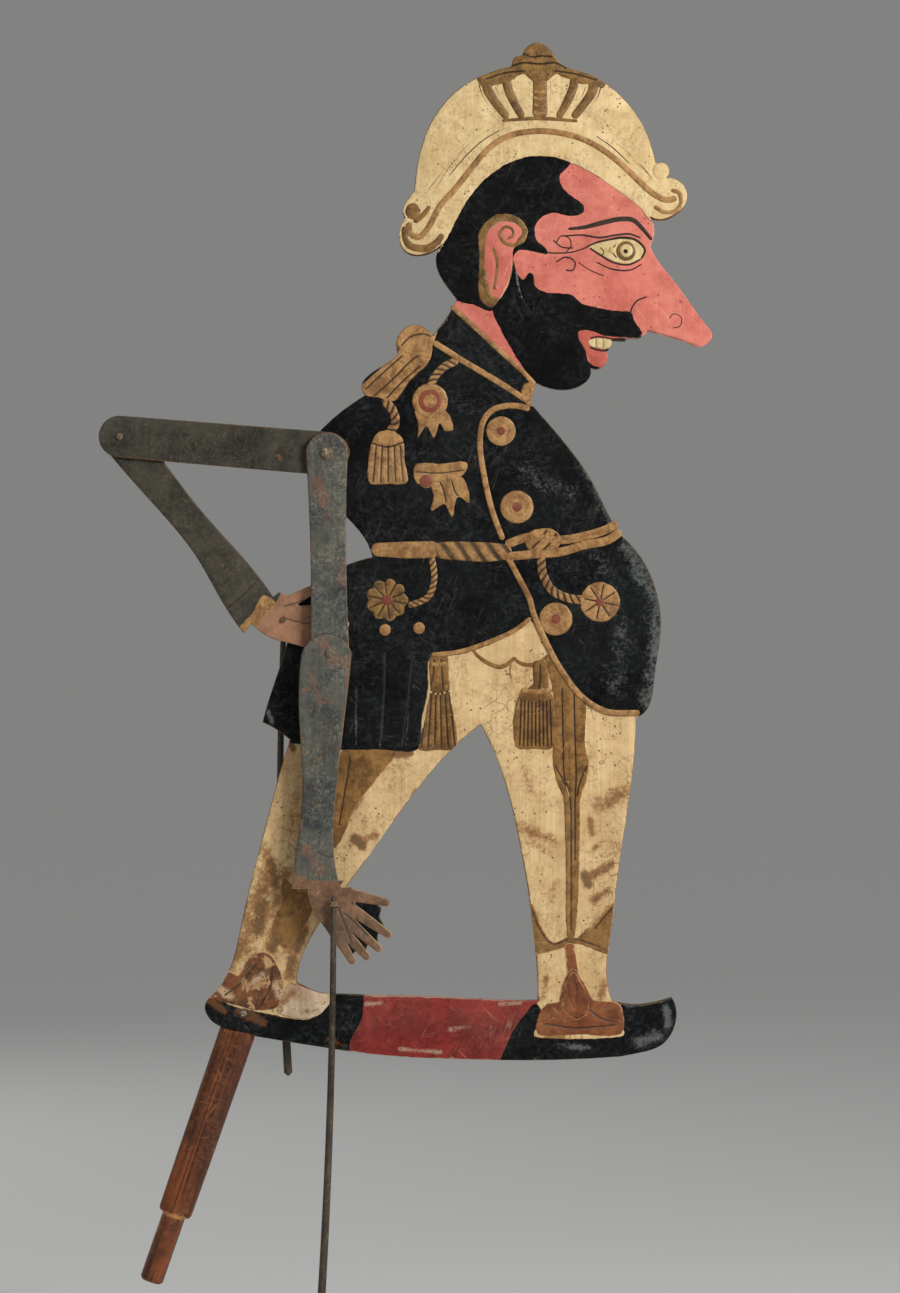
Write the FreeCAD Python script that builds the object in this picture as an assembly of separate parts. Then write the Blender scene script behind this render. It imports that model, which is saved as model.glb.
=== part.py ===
import FreeCAD, Part
import math
import os

# Flat carved wooden rod puppet, seen in profile facing +X, with jointed leather arms.
# Millimetres. +Z is up, the viewer stands on the -Y side, and the origin lies on the
# axis of the grip, at the shoulder where its round spigot begins.

# Board
figure_height = 560.0        # crown ornament to the sole of the base bar
board_thickness = 12.0

# Grip
grip_length = 107.8          # spigot shoulder to the underside of the heel
grip_lean = 19.1             # degrees from upright, leaning forward as it rises
grip_width = 19.6
grip_swell = 0.8             # how far the grip stands proud of each board face
grip_sides = 24              # flats scraped round the oval grip
spigot_radius = 6.5
spigot_length = 40.0
spigot_chamfer = 1.5
tenon_width = 11.0
tenon_thickness = 5.0
tenon_length = 23.0
tenon_clearance = 0.08
grip_peg_radius = 1.9
grip_peg_up_tenon = 10.0     # distance of the locking peg above the heel

# Leather arms
leather_thickness = 2.2
near_upper_length = 109.5    # shoulder pivot to elbow pivot
near_fore_length = 137.5     # elbow pivot to the thread hole in the palm
far_upper_length = 114.2
far_fore_length = 134.8
near_hang_angle = 0.9        # degrees forward of straight down, whole near arm

# Gaps between the layers that turn over each other
lap_gap = 0.4                # forearm to upper arm
tail_gap = 1.8               # room for the flat ends of the elbow pegs

# Pegs
shoulder_peg_radius = 2.0
shoulder_head_radius = 3.4
shoulder_head_height = 1.6
shoulder_tail_height = 1.1
washer_radius = 5.5
elbow_peg_radius = 1.4
elbow_small_head = 2.0       # ends that lie between the two arms
elbow_large_head = 2.7       # ends that lie on the open side
elbow_head_height = 1.3
elbow_tail_height = 1.2
running_fit = 0.07           # radial play of a hole on its peg
face_play = 0.08             # play between a peg head and the leather
heel_joint = 0.05            # hair gap between the grip's top and the heel

# Rods and their thread ties
rod_length = 257.0
rod_top_radius = 1.6
rod_end_radius = 2.4
rod_above_tie = 5.0
rod_face_gap = 0.4           # near rod's thread turns to the front of the near forearm
far_rod_gap = 1.6            # far rod to the back of the board
near_rod_bend = 9.0          # set-back of the near rod's lower end
far_rod_bow = 3.3
far_rod_lean = 2.2
rod_steps = 6                # sections along a rod's gentle curve
thread_radius = 0.7
thread_turns = 3
thread_sides = 16            # flats round the turns of thread
thread_column_radius = 1.0
knot_radius = 2.1
knot_height = 1.2
thread_play = 0.25           # thread in the palm's hole
tie_play = 0.15              # thread turns round the rod

# Drawing of the board: its own height and the point where the grip meets the heel
drawn_height = 560.0
heel_x = 35.0
heel_z = 102.0
shoulder_x = 84.2
shoulder_z = 419.1
far_tie_x = 60.0
far_tie_z = 327.8

figure_scale = figure_height / drawn_height
lean = math.radians(grip_lean)
foot_x = grip_length * math.sin(lean)
foot_z = grip_length * math.cos(lean)

# Layers, from the board towards the viewer
board_front = -board_thickness / 2
board_back = board_thickness / 2
far_fore_back = board_front - tail_gap
far_fore_front = far_fore_back - leather_thickness
far_upper_back = far_fore_front - lap_gap
far_upper_front = far_upper_back - leather_thickness
near_upper_back = far_upper_front - tail_gap
near_upper_front = near_upper_back - leather_thickness
near_fore_back = near_upper_front - lap_gap
near_fore_front = near_fore_back - leather_thickness
tie_inner_radius = rod_top_radius + tie_play
tie_outer_radius = tie_inner_radius + 2 * thread_radius
near_rod_y = near_fore_front - rod_face_gap - max(rod_end_radius, tie_outer_radius)
far_rod_y = board_back + far_rod_gap + rod_end_radius
grip_depth = board_thickness + 2 * grip_swell

# Outline of the figure, clockwise from the back of the hat, one list per stretch.
# Each stretch is one smooth curve, and corners fall where two stretches meet.
hat_back = [(147, 534), (141, 530), (134, 528.5), (128, 530), (124, 536), (124, 543), (127, 549)]
back_scroll = [(127, 549), (126, 555), (129, 560), (132, 564)]
dome_back = [(132, 564), (133.5, 577), (139.5, 598), (152, 616), (168.5, 627)]
crown_back = [(168.5, 627), (179.5, 631), (185.5, 632.5)]
crown_step_back = [(185.5, 632.5), (187, 637), (191.5, 638.5)]
crown_knob = [(191.5, 638.5), (194.5, 643.5), (200, 645.5), (206, 642.5), (209.5, 638.5)]
crown_front = [(209.5, 638.5), (213.5, 633.5), (222, 630), (234.5, 625)]
dome_front = [(234.5, 625), (249, 613), (260, 596), (265, 579.5)]
bead = [(265, 579.5), (270, 577.5), (271.8, 574), (271, 571)]
front_scroll = [(271, 571), (277, 570), (281.5, 565), (282, 558), (276, 551), (268, 548), (262, 549.5)]
brow = [(262, 549.5), (264, 544.5), (264, 539), (262, 533.5)]
nose_bridge = [(262, 533.5), (265, 527.5), (277, 512), (286.5, 498.5), (295, 487.5)]
nose_tip = [(295, 487.5), (296, 483), (293, 479.5), (288, 478)]
nose_under = [(288, 478), (278.5, 482), (270, 484.5), (260.5, 487)]
upper_lip = [(260.5, 487), (257, 483.5), (248, 482.7), (240.5, 481.7)]
mouth = [(240.5, 481.7), (240.8, 479.2), (239.2, 477.2), (236.5, 476.2)]
lower_lip = [(236.5, 476.2), (238.8, 473.2), (237.6, 469), (229, 467)]
beard = [(229, 467), (228.5, 461), (224, 457), (214, 454.5), (199.5, 458.5)]
collar_tip = [(199.5, 458.5), (196, 447.5)]
chest = [(196, 447.5), (212.5, 428.5), (229, 406), (241.5, 381.5), (246.5, 374)]
belly = [(246.5, 374), (263, 351), (268, 324), (264.5, 297), (259, 277), (254.5, 274)]
front_leg_front = [(254.5, 274), (253, 247), (246.5, 202), (240.5, 157), (238.5, 130), (241, 118.5)]
instep = [(241, 118.5), (248, 116.5), (260, 116.5), (274, 120)]
toe = [(274, 120), (276.5, 113), (275, 103), (269, 94.5), (258, 90), (245.5, 87.5)]
sole = [(245.5, 87.5), (201, 85.5), (158, 86), (112, 88.5), (76, 93.5), (45.5, 98.5)]
heel_end = [(45.5, 98.5), (33.5, 102), (22, 106), (17, 113), (21, 121.5)]
rear_leg_back = [(21, 121.5), (28, 131), (36.5, 160), (49, 211), (63.5, 262)]
coat_hem = [(63.5, 262), (57, 267), (48.5, 271.5)]
coat_tail = [(48.5, 271.5), (50.5, 279), (62.5, 317), (70, 340), (83, 352), (109, 362.5)]
coat_waist = [(109, 362.5), (103.5, 374.5), (88, 391), (76, 407), (73, 418), (77.5, 429)]
shoulder_slope = [(77.5, 429), (87, 438.5), (105, 451.5)]
epaulette = [(105, 451.5), (103, 456.5), (109.5, 464.5), (123, 475)]
epaulette_knob = [(123, 475), (122.5, 483), (130, 490), (137.5, 489), (142, 484.5)]
neck = [(142, 484.5), (149, 493), (155.5, 504.5)]
hair_back = [(155.5, 504.5), (149, 513), (144, 524), (147, 534)]

figure_outline = [
    hat_back, back_scroll, dome_back, crown_back, crown_step_back, crown_knob, crown_front,
    dome_front, bead, front_scroll, brow, nose_bridge, nose_tip, nose_under, upper_lip, mouth,
    lower_lip, beard, collar_tip, chest, belly, front_leg_front, instep, toe, sole, heel_end,
    rear_leg_back, coat_hem, coat_tail, coat_waist, shoulder_slope, epaulette, epaulette_knob,
    neck, hair_back,
]

# Open space between the legs, above the base bar
front_leg_back = [(168.5, 270), (179.5, 245.5), (190.5, 201.5), (197.5, 157.5), (200, 118.5)]
bar_top = [(200, 118.5), (179, 118.5), (152, 120), (118, 121), (86, 122)]
heel_step = [(86, 122), (80, 122.6), (73, 125.3), (67.5, 128.5)]
rear_shin = [(67.5, 128.5), (69, 137.5), (75, 152), (97, 183.5), (124.5, 222), (154.5, 258), (168.5, 270)]
leg_space = [front_leg_back, bar_top, heel_step, rear_shin]

# Sleeve edges of the forearms, from the elbow pivot down: back edge, then front edge
near_sleeve_back = [(-15.5, 0), (-17.5, -33), (-16.5, -80), (-21, -114), (-23, -129)]
near_sleeve_front = [(12, 0), (8, -33), (2, -80), (1, -114), (4, -129)]
far_sleeve_back = [(-10.5, 0), (-11, -37), (-13, -80), (-18, -103), (-21, -126)]
far_sleeve_front = [(10.5, 0), (9, -27), (6.5, -60), (6.5, -100), (4.5, -122)]
near_elbow_rise = 10.0
far_elbow_rise = 10.5

# Hand, measured from the thread hole in the palm
palm = [(-14, 13), (-12, -2), (-6.5, -11), (0, -16.5), (6, -15), (10.5, -8), (12, 2), (8.5, 13)]
fingers = [
    ((7, 5.5), (28.5, 0.5)),
    ((7, -1), (29.5, -17)),
    ((4, -6), (24, -24.5)),
    ((0, -9), (17.5, -29)),
    ((-3.5, -8.5), (9.5, -31)),
]
finger_root_width = 7.8
finger_tip_width = 4.4

# Widths of the upper arms at the shoulder, half way and at the elbow
near_upper_widths = (23.0, 19.8, 21.5)
far_upper_widths = (24.0, 23.6, 23.0)


def drawn(x, z):
    """Place a point of the board drawing in the part's frame."""
    return (foot_x + (x - heel_x) * figure_scale, foot_z + (z - heel_z) * figure_scale)


def smooth_edge(points, y):
    """One smooth edge through points (x, z) in the plane at depth y."""
    vectors = [FreeCAD.Vector(x, y, z) for x, z in points]
    if len(vectors) == 2:
        return Part.LineSegment(vectors[0], vectors[1]).toShape()
    curve = Part.BSplineCurve()
    curve.interpolate(vectors)
    return curve.toShape()


def arc_edge(start, middle, end, y):
    """Circular arc through three points (x, z) in the plane at depth y."""
    vectors = [FreeCAD.Vector(x, y, z) for x, z in (start, middle, end)]
    return Part.Arc(*vectors).toShape()


def plate(edges, back, front):
    """Flat plate from a closed loop of edges at depth back, thickened to depth front."""
    face = Part.Face(Part.Wire(edges))
    return face.extrude(FreeCAD.Vector(0, front - back, 0))


def disc(x, z, radius, back, front):
    """Round disc or pin along Y between two depths."""
    base = FreeCAD.Vector(x, back, z)
    return Part.makeCylinder(radius, abs(front - back), base, FreeCAD.Vector(0, front - back, 0))


def hang(shape, pivot, angle):
    """Turn a piece drawn hanging from the origin forward by angle and move it to pivot."""
    placed = shape.copy()
    placed.rotate(FreeCAD.Vector(0, 0, 0), FreeCAD.Vector(0, -1, 0), math.degrees(angle))
    placed.translate(FreeCAD.Vector(pivot[0], 0, pivot[1]))
    return placed


def below(pivot, length, angle):
    """Point at length from pivot, in the direction angle forward of straight down."""
    return (pivot[0] + length * math.sin(angle), pivot[1] - length * math.cos(angle))


def peg(centre, shaft_radius, ends, head_radius, head_height, tail_radius, tail_height):
    """Turned peg along Y: low domed head in front, flat burred tail behind.

    ends holds the depths of the head's seat and the tail's seat.
    """
    head_seat, tail_seat = ends
    head_top = head_seat - head_height
    shoulder_line = head_seat - 0.35 * head_height
    profile = [
        FreeCAD.Vector(0, tail_seat + tail_height, 0),
        FreeCAD.Vector(tail_radius * 0.8, tail_seat + tail_height, 0),
        FreeCAD.Vector(tail_radius, tail_seat + tail_height / 2, 0),
        FreeCAD.Vector(tail_radius, tail_seat, 0),
        FreeCAD.Vector(shaft_radius, tail_seat, 0),
        FreeCAD.Vector(shaft_radius, head_seat, 0),
        FreeCAD.Vector(head_radius, head_seat, 0),
        FreeCAD.Vector(head_radius, shoulder_line, 0),
        FreeCAD.Vector(head_radius * 0.72, head_top + 0.18 * head_height, 0),
        FreeCAD.Vector(head_radius * 0.3, head_top, 0),
        FreeCAD.Vector(0, head_top, 0),
    ]
    face = Part.Face(Part.makePolygon(profile + profile[:1]))
    solid = face.revolve(FreeCAD.Vector(0, 0, 0), FreeCAD.Vector(0, 1, 0), 360)
    solid.translate(FreeCAD.Vector(centre[0], 0, centre[1]))
    return solid


def far_arm_angles(shoulder, hand):
    """Angles of the far upper arm and forearm that bring the palm to its place."""
    reach_x = hand[0] - shoulder[0]
    reach_z = hand[1] - shoulder[1]
    reach = math.hypot(reach_x, reach_z)
    towards_hand = math.atan2(reach_x, -reach_z)
    cosine = (far_upper_length ** 2 + reach ** 2 - far_fore_length ** 2) / (
        2 * far_upper_length * reach)
    upper = towards_hand - math.acos(cosine)
    elbow = below(shoulder, far_upper_length, upper)
    fore = math.atan2(hand[0] - elbow[0], elbow[1] - hand[1])
    return upper, fore


shoulder = drawn(shoulder_x, shoulder_z)
far_hand = drawn(far_tie_x, far_tie_z)
near_angle = math.radians(near_hang_angle)
near_elbow = below(shoulder, near_upper_length, near_angle)
near_hand = below(near_elbow, near_fore_length, near_angle)
far_upper_angle, far_fore_angle = far_arm_angles(shoulder, far_hand)
far_elbow = below(shoulder, far_upper_length, far_upper_angle)


def along_grip(distance):
    """Point on the grip's axis at a distance above the spigot shoulder."""
    return FreeCAD.Vector(distance * math.sin(lean), 0, distance * math.cos(lean))


def lean_over(shape):
    """Tilt a piece drawn upright at the origin onto the grip's axis."""
    tilted = shape.copy()
    tilted.rotate(FreeCAD.Vector(0, 0, 0), FreeCAD.Vector(0, 1, 0), grip_lean)
    return tilted


def tenon(clearance):
    """Flat tenon on top of the grip, or its mortise when a clearance is given."""
    width = tenon_width + 2 * clearance
    depth = tenon_thickness + 2 * clearance
    reach = tenon_length + clearance
    start = -tenon_length / 2 if clearance == 0 else -grip_width
    corner = FreeCAD.Vector(-width / 2, -depth / 2, grip_length + start)
    return lean_over(Part.makeBox(width, depth, reach - start, corner))


def grip_peg_centre():
    """Where the locking peg crosses the tenon."""
    point = along_grip(grip_length + grip_peg_up_tenon)
    return (point.x, point.z)


def heel_cutter():
    """The figure's outline thickened past the grip, a hair below the heel."""
    cutter = figure_plate(board_front - 2 * grip_swell, board_back + 2 * grip_swell)
    cutter.translate(along_grip(-heel_joint))
    return cutter


def figure_plate(front, back):
    """The figure's outline without its leg space, between two depths."""
    loop = [smooth_edge([drawn(x, z) for x, z in stretch], back) for stretch in figure_outline]
    return plate(loop, back, front)


def make_body_board():
    """The carved board: figure, base bar, leg space, mortise and bored holes."""
    board = figure_plate(board_front, board_back)
    gap = [smooth_edge([drawn(x, z) for x, z in stretch], board_back) for stretch in leg_space]
    board = board.cut(plate(gap, board_back, board_front))
    board = board.cut(disc(*shoulder, shoulder_peg_radius + running_fit, board_back, board_front))
    board = board.cut(tenon(tenon_clearance))
    peg_hole = grip_peg_radius + running_fit
    return board.cut(disc(*grip_peg_centre(), peg_hole, board_back, board_front))


def faceted_wire(width, depth, height, sides):
    """Level section with flat sides, its corners on an oval, at a height."""
    turns = [2 * math.pi * side / sides for side in range(sides)]
    corners = [FreeCAD.Vector(math.cos(turn) * width / 2, math.sin(turn) * depth / 2, height)
               for turn in turns]
    return Part.makePolygon(corners + corners[:1])


def make_grip():
    """Scraped oval grip that leans forward, with a tenon above and a round spigot below."""
    sections = [
        faceted_wire(grip_width * 0.96, grip_depth, 0, grip_sides),
        faceted_wire(grip_width, grip_depth, grip_length * 0.35, grip_sides),
        faceted_wire(grip_width * 1.02, grip_depth, grip_length * 0.75, grip_sides),
        faceted_wire(grip_width * 1.06, grip_depth, grip_length + grip_width / 2, grip_sides),
    ]
    handle = lean_over(Part.makeLoft(sections, True, True))
    handle = handle.cut(heel_cutter())
    handle = max(handle.Solids, key=lambda solid: solid.Volume)
    spigot = Part.makeCylinder(spigot_radius, spigot_length, FreeCAD.Vector(0, 0, -spigot_length))
    lower_rim = [edge for edge in spigot.Edges if edge.BoundBox.ZMax < -spigot_length / 2]
    spigot = spigot.makeChamfer(spigot_chamfer, lower_rim[:1])
    grip = handle.fuse([lean_over(spigot), tenon(0)]).removeSplitter()
    hole = grip_peg_radius + running_fit
    return grip.cut(disc(*grip_peg_centre(), hole, board_back, board_front))


def make_grip_peg():
    """Short dowel that locks the tenon, flush with both board faces."""
    return disc(*grip_peg_centre(), grip_peg_radius, board_back, board_front)


def make_shoulder_peg():
    """The peg through the board on which both arms turn."""
    ends = (near_upper_front - face_play, board_back + face_play)
    return peg(shoulder, shoulder_peg_radius, ends, shoulder_head_radius, shoulder_head_height,
               shoulder_head_radius, shoulder_tail_height)


def washer(back, front):
    """Leather ring on the shoulder peg between two depths."""
    ring = disc(*shoulder, washer_radius, back, front)
    return ring.cut(disc(*shoulder, shoulder_peg_radius + running_fit, back, front))


def make_shoulder_spacer():
    """Thick ring that keeps the far arm clear of the board."""
    return washer(board_front - face_play, far_upper_back + face_play)


def make_shoulder_washer():
    """Thin ring between the two arms."""
    return washer(far_upper_front - face_play, near_upper_back + face_play)


def upper_arm(length, widths, back, front):
    """Upper arm strap with round ends, hanging from a pivot at the origin."""
    top, middle, low = (width / 2 for width in widths)
    loop = [
        arc_edge((-top, 0), (0, top), (top, 0), back),
        smooth_edge([(top, 0), (middle, -length / 2), (low, -length)], back),
        arc_edge((low, -length), (0, -length - low), (-low, -length), back),
        smooth_edge([(-low, -length), (-middle, -length / 2), (-top, 0)], back),
    ]
    strap = plate(loop, back, front)
    strap = strap.cut(disc(0, 0, shoulder_peg_radius + running_fit, back, front))
    return strap.cut(disc(0, -length, elbow_peg_radius + running_fit, back, front))


def finger(root, tip, back, front):
    """Tapered finger with round ends from root to tip."""
    run_x, run_z = tip[0] - root[0], tip[1] - root[1]
    run = math.hypot(run_x, run_z)
    ahead = (run_x / run, run_z / run)
    side = (-ahead[1], ahead[0])

    def beside(point, half_width):
        """Point offset sideways from the finger's centre line."""
        return (point[0] + side[0] * half_width, point[1] + side[1] * half_width)

    def beyond(point, distance):
        """Point moved along the finger's centre line."""
        return (point[0] + ahead[0] * distance, point[1] + ahead[1] * distance)

    wide, narrow = finger_root_width / 2, finger_tip_width / 2
    loop = [
        smooth_edge([beside(root, wide), beside(tip, narrow)], back),
        arc_edge(beside(tip, narrow), beyond(tip, narrow), beside(tip, -narrow), back),
        smooth_edge([beside(tip, -narrow), beside(root, -wide)], back),
        arc_edge(beside(root, -wide), beyond(root, -wide), beside(root, wide), back),
    ]
    return plate(loop, back, front)


def forearm(length, sleeve_back, sleeve_front, elbow_rise, back, front):
    """Sleeve, palm and fingers cut from one piece of leather, hanging from the elbow."""
    loop = [
        arc_edge(sleeve_back[0], ((sleeve_back[0][0] + sleeve_front[0][0]) / 2, elbow_rise),
                 sleeve_front[0], back),
        smooth_edge(sleeve_front, back),
        smooth_edge([sleeve_front[-1], sleeve_back[-1]], back),
        smooth_edge(sleeve_back[::-1], back),
    ]
    sleeve = plate(loop, back, front)
    palm_points = [(x, z - length) for x, z in palm]
    palm_loop = [
        smooth_edge(palm_points, back),
        smooth_edge([palm_points[-1], palm_points[0]], back),
    ]
    pieces = [plate(palm_loop, back, front)]
    for root, tip in fingers:
        low_root = (root[0], root[1] - length)
        low_tip = (tip[0], tip[1] - length)
        pieces.append(finger(low_root, low_tip, back, front))
    arm = sleeve.fuse(pieces).removeSplitter()
    arm = arm.cut(disc(0, 0, elbow_peg_radius + running_fit, back, front))
    return arm.cut(disc(0, -length, thread_column_radius + thread_play, back, front))


def make_near_upper_arm():
    """Near upper arm, third layer out from the board."""
    strap = upper_arm(near_upper_length, near_upper_widths, near_upper_back, near_upper_front)
    return hang(strap, shoulder, near_angle)


def make_near_forearm():
    """Near forearm and hand, the outermost layer."""
    arm = forearm(near_fore_length, near_sleeve_back, near_sleeve_front, near_elbow_rise,
                  near_fore_back, near_fore_front)
    return hang(arm, near_elbow, near_angle)


def make_far_upper_arm():
    """Far upper arm, second layer out from the board, raised backwards."""
    strap = upper_arm(far_upper_length, far_upper_widths, far_upper_back, far_upper_front)
    return hang(strap, shoulder, far_upper_angle)


def make_far_forearm():
    """Far forearm and hand, the layer next to the board."""
    arm = forearm(far_fore_length, far_sleeve_back, far_sleeve_front, far_elbow_rise,
                  far_fore_back, far_fore_front)
    return hang(arm, far_elbow, far_fore_angle)


def make_near_elbow_peg():
    """Peg that joins the near forearm to the front of the near upper arm."""
    ends = (near_fore_front - face_play, near_upper_back + face_play)
    return peg(near_elbow, elbow_peg_radius, ends, elbow_large_head, elbow_head_height,
               elbow_small_head, elbow_tail_height)


def make_far_elbow_peg():
    """Peg that joins the far forearm to the back of the far upper arm."""
    ends = (far_upper_front - face_play, far_fore_back + face_play)
    return peg(far_elbow, elbow_peg_radius, ends, elbow_small_head, elbow_head_height,
               elbow_large_head, elbow_tail_height)


def rod_radius(share):
    """Radius of a rod at a share of its length from the top."""
    return rod_top_radius + (rod_end_radius - rod_top_radius) * share


def rod(tie, y, set_back):
    """Slim rod that hangs from its tie; set_back gives its sideways path by share."""
    wires = []
    at_tie = set_back(rod_above_tie / rod_length)
    for step in range(rod_steps + 1):
        share = step / rod_steps
        centre = FreeCAD.Vector(tie[0] + set_back(share) - at_tie, y,
                                tie[1] + rod_above_tie - rod_length * share)
        circle = Part.Circle(centre, FreeCAD.Vector(0, 0, 1), rod_radius(share))
        wires.append(Part.Wire(circle.toShape()))
    return Part.makeLoft(wires, True, True)


def near_rod_path(share):
    """Straight above, then bending back towards the lower end."""
    return -near_rod_bend * share ** 2


def far_rod_path(share):
    """A shallow bow, leaning slightly forward."""
    return far_rod_lean * share - 4 * far_rod_bow * share * (1 - share)


def make_near_rod():
    """Control rod of the near hand, in front of everything."""
    return rod(near_hand, near_rod_y, near_rod_path)


def make_far_rod():
    """Control rod of the far hand, hanging behind the board."""
    return rod(far_hand, far_rod_y, far_rod_path)


def thread_tie(centre, rod_y, knot_seat, knot_side):
    """Thread through the palm: knot on one side, turns round the rod on the other.

    knot_side is -1 for a knot in front of the palm and +1 for one behind it.
    """
    valley = 2 * tie_inner_radius + 1.6 * thread_radius
    ridge = 2 * tie_outer_radius
    bottom = -thread_turns * thread_radius
    wires = []
    for level in range(2 * thread_turns + 1):
        width = ridge if level % 2 else valley
        wires.append(faceted_wire(width, width, bottom + level * thread_radius, thread_sides))
    ring = Part.makeLoft(wires, True, True)
    bore = 2 * tie_inner_radius / math.cos(math.pi / thread_sides)
    ends = [faceted_wire(bore, bore, side * 2 * bottom, thread_sides) for side in (1, -1)]
    ring = ring.cut(Part.makeLoft(ends, True, True))
    ring.translate(FreeCAD.Vector(centre[0], rod_y, centre[1]))
    column_end = rod_y + knot_side * (tie_inner_radius + thread_radius)
    column = disc(*centre, thread_column_radius, knot_seat, column_end)
    knot = disc(*centre, knot_radius, knot_seat, knot_seat + knot_side * knot_height)
    rim = [edge for edge in knot.Edges if abs(edge.BoundBox.YMin - knot_seat) > knot_height / 2]
    knot = knot.makeChamfer(knot_height * 0.5, rim[:1])
    return column.fuse([ring, knot]).removeSplitter()


def make_near_rod_tie():
    """Thread from the near palm to the near rod."""
    return thread_tie(near_hand, near_rod_y, near_fore_back + face_play, 1)


def make_far_rod_tie():
    """Thread from the far palm to the far rod, passing behind the coat's back edge."""
    return thread_tie(far_hand, far_rod_y, far_fore_front - face_play, -1)


parts = {
    "body_board": make_body_board,
    "grip": make_grip,
    "grip_peg": make_grip_peg,
    "shoulder_peg": make_shoulder_peg,
    "shoulder_spacer": make_shoulder_spacer,
    "shoulder_washer": make_shoulder_washer,
    "near_upper_arm": make_near_upper_arm,
    "near_forearm": make_near_forearm,
    "near_elbow_peg": make_near_elbow_peg,
    "near_rod": make_near_rod,
    "near_rod_tie": make_near_rod_tie,
    "far_upper_arm": make_far_upper_arm,
    "far_forearm": make_far_forearm,
    "far_elbow_peg": make_far_elbow_peg,
    "far_rod": make_far_rod,
    "far_rod_tie": make_far_rod_tie,
}

os.makedirs("parts", exist_ok=True)
for name, make in parts.items():
    shape = make()
    box = shape.BoundBox
    print(name, "solids", len(shape.Solids), "valid", shape.isValid(),
          "volume", round(shape.Volume, 1), "box", round(box.XMin, 1), round(box.XMax, 1),
          round(box.YMin, 2), round(box.YMax, 2), round(box.ZMin, 1), round(box.ZMax, 1))
    shape.exportStep("parts/" + name + ".step")
print("near elbow", near_elbow, "near hand", near_hand)
print("far elbow", far_elbow, "far hand", far_hand, "shoulder", shoulder)
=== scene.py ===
"""Flat carved and painted rod puppet: board with its dress, leather arms, rods and grip.

All helper shapes are worked out in millimetres, x to the right, y away from the viewer and z up,
and are brought to metres when a mesh is made. The board is seen from both sides, so every relief
piece passes through the board and shows the same carving on its front and its back.
"""
import logging
import math
from dataclasses import dataclass, field, replace
from enum import Enum

import bpy
import numpy as np
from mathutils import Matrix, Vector
from mathutils.geometry import delaunay_2d_cdt


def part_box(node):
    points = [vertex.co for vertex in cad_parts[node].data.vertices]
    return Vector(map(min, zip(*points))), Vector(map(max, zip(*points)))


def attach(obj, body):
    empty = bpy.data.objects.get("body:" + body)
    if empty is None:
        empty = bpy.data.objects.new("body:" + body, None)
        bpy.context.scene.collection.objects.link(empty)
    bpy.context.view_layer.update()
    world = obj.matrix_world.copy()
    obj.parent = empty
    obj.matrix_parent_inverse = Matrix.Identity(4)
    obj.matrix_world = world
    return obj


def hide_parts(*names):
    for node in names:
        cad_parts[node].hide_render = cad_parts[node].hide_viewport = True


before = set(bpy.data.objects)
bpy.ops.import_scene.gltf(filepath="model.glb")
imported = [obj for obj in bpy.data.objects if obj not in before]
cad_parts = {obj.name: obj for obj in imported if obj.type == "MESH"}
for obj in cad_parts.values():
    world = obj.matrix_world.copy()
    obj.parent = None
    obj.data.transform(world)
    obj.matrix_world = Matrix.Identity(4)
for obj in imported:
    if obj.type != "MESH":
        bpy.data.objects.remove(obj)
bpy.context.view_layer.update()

log = logging.getLogger("puppet")

METRE = 0.001            # metres in one millimetre
DRAWING_UNIT = 0.55      # millimetres of the object in one unit of the drawing
DRAWING_LEFT = 173.509   # drawing column that lies on x = 0
DRAWING_FOOT = 1215.764  # drawing row that lies on z = 0
DRAWING_WIDTH = 900.0
DRAWING_HEIGHT = 1293.0
HAND_SHAKE = 0.07        # millimetres by which a hand-cut line wanders
WHOLE_TURN = 2 * math.pi
TINY = 1e-9              # floor of a length or area that is divided by
FACE_DEPTH = 0.01        # millimetres within which a corner counts as on the front face
NEAREST_SPARE = 0.12     # millimetres apart to which a slab's inner points are thinned
CLEAR_OF_EDGE = 0.05     # millimetres that they stay away from every edge
PART_SIZE = 2000         # places that are compared with all edges at one time
HALF_RING = 9            # points across each face of a trim
WANDER_LENGTH = 7        # millimetres of outline for each wave of its wandering
BEVEL_RINGS = (0.14, 0.5, 1.0)             # shares of a bevel that get a ring of points
CUT_RINGS = (-1.7, -0.7, 0.0, 0.7, 1.7)    # half widths of a cut that get a row of points

Line = str | list[tuple[float, float]] | tuple[tuple[float, float], ...]
Socket = bpy.types.NodeSocket
Inputs = dict[str, Socket]
Run = tuple[np.ndarray, float, float]


class Slot(Enum):
    """Material slots of the record."""

    BOARD = "painted_board"
    GRIP = "grip_wood"
    PEG = "peg_wood"
    WASHER = "washer_leather"
    ARM = "arm_leather"
    ROD = "rod_horn"
    THREAD = "thread"


def drawn(line: Line) -> np.ndarray:
    """Moves points of the drawing into the object's plane.

    Args:
        line: Columns and rows of the drawing, as pairs or as text such as "10,20 30,40".

    Returns:
        Places (x, z) in millimetres.
    """
    if isinstance(line, str):
        line = [pair.split(",") for pair in line.split()]
    place = np.asarray(line, float)
    x = (place[:, 0] - DRAWING_LEFT) * DRAWING_UNIT
    z = (DRAWING_FOOT - place[:, 1]) * DRAWING_UNIT
    return np.column_stack([x, z])


def unit(rows: np.ndarray) -> np.ndarray:
    """Each row divided by its length."""
    return rows / np.maximum(np.linalg.norm(rows, axis=1, keepdims=True), TINY)


def leftward(rows: np.ndarray) -> np.ndarray:
    """Each direction (x, z) turned a quarter to its left."""
    return np.column_stack([-rows[:, 1], rows[:, 0]])


def distance_along(path: np.ndarray) -> np.ndarray:
    """Distance from the start of a path to each of its places."""
    return np.concatenate([[0], np.cumsum(np.linalg.norm(np.diff(path, axis=0), axis=1))])


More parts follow.
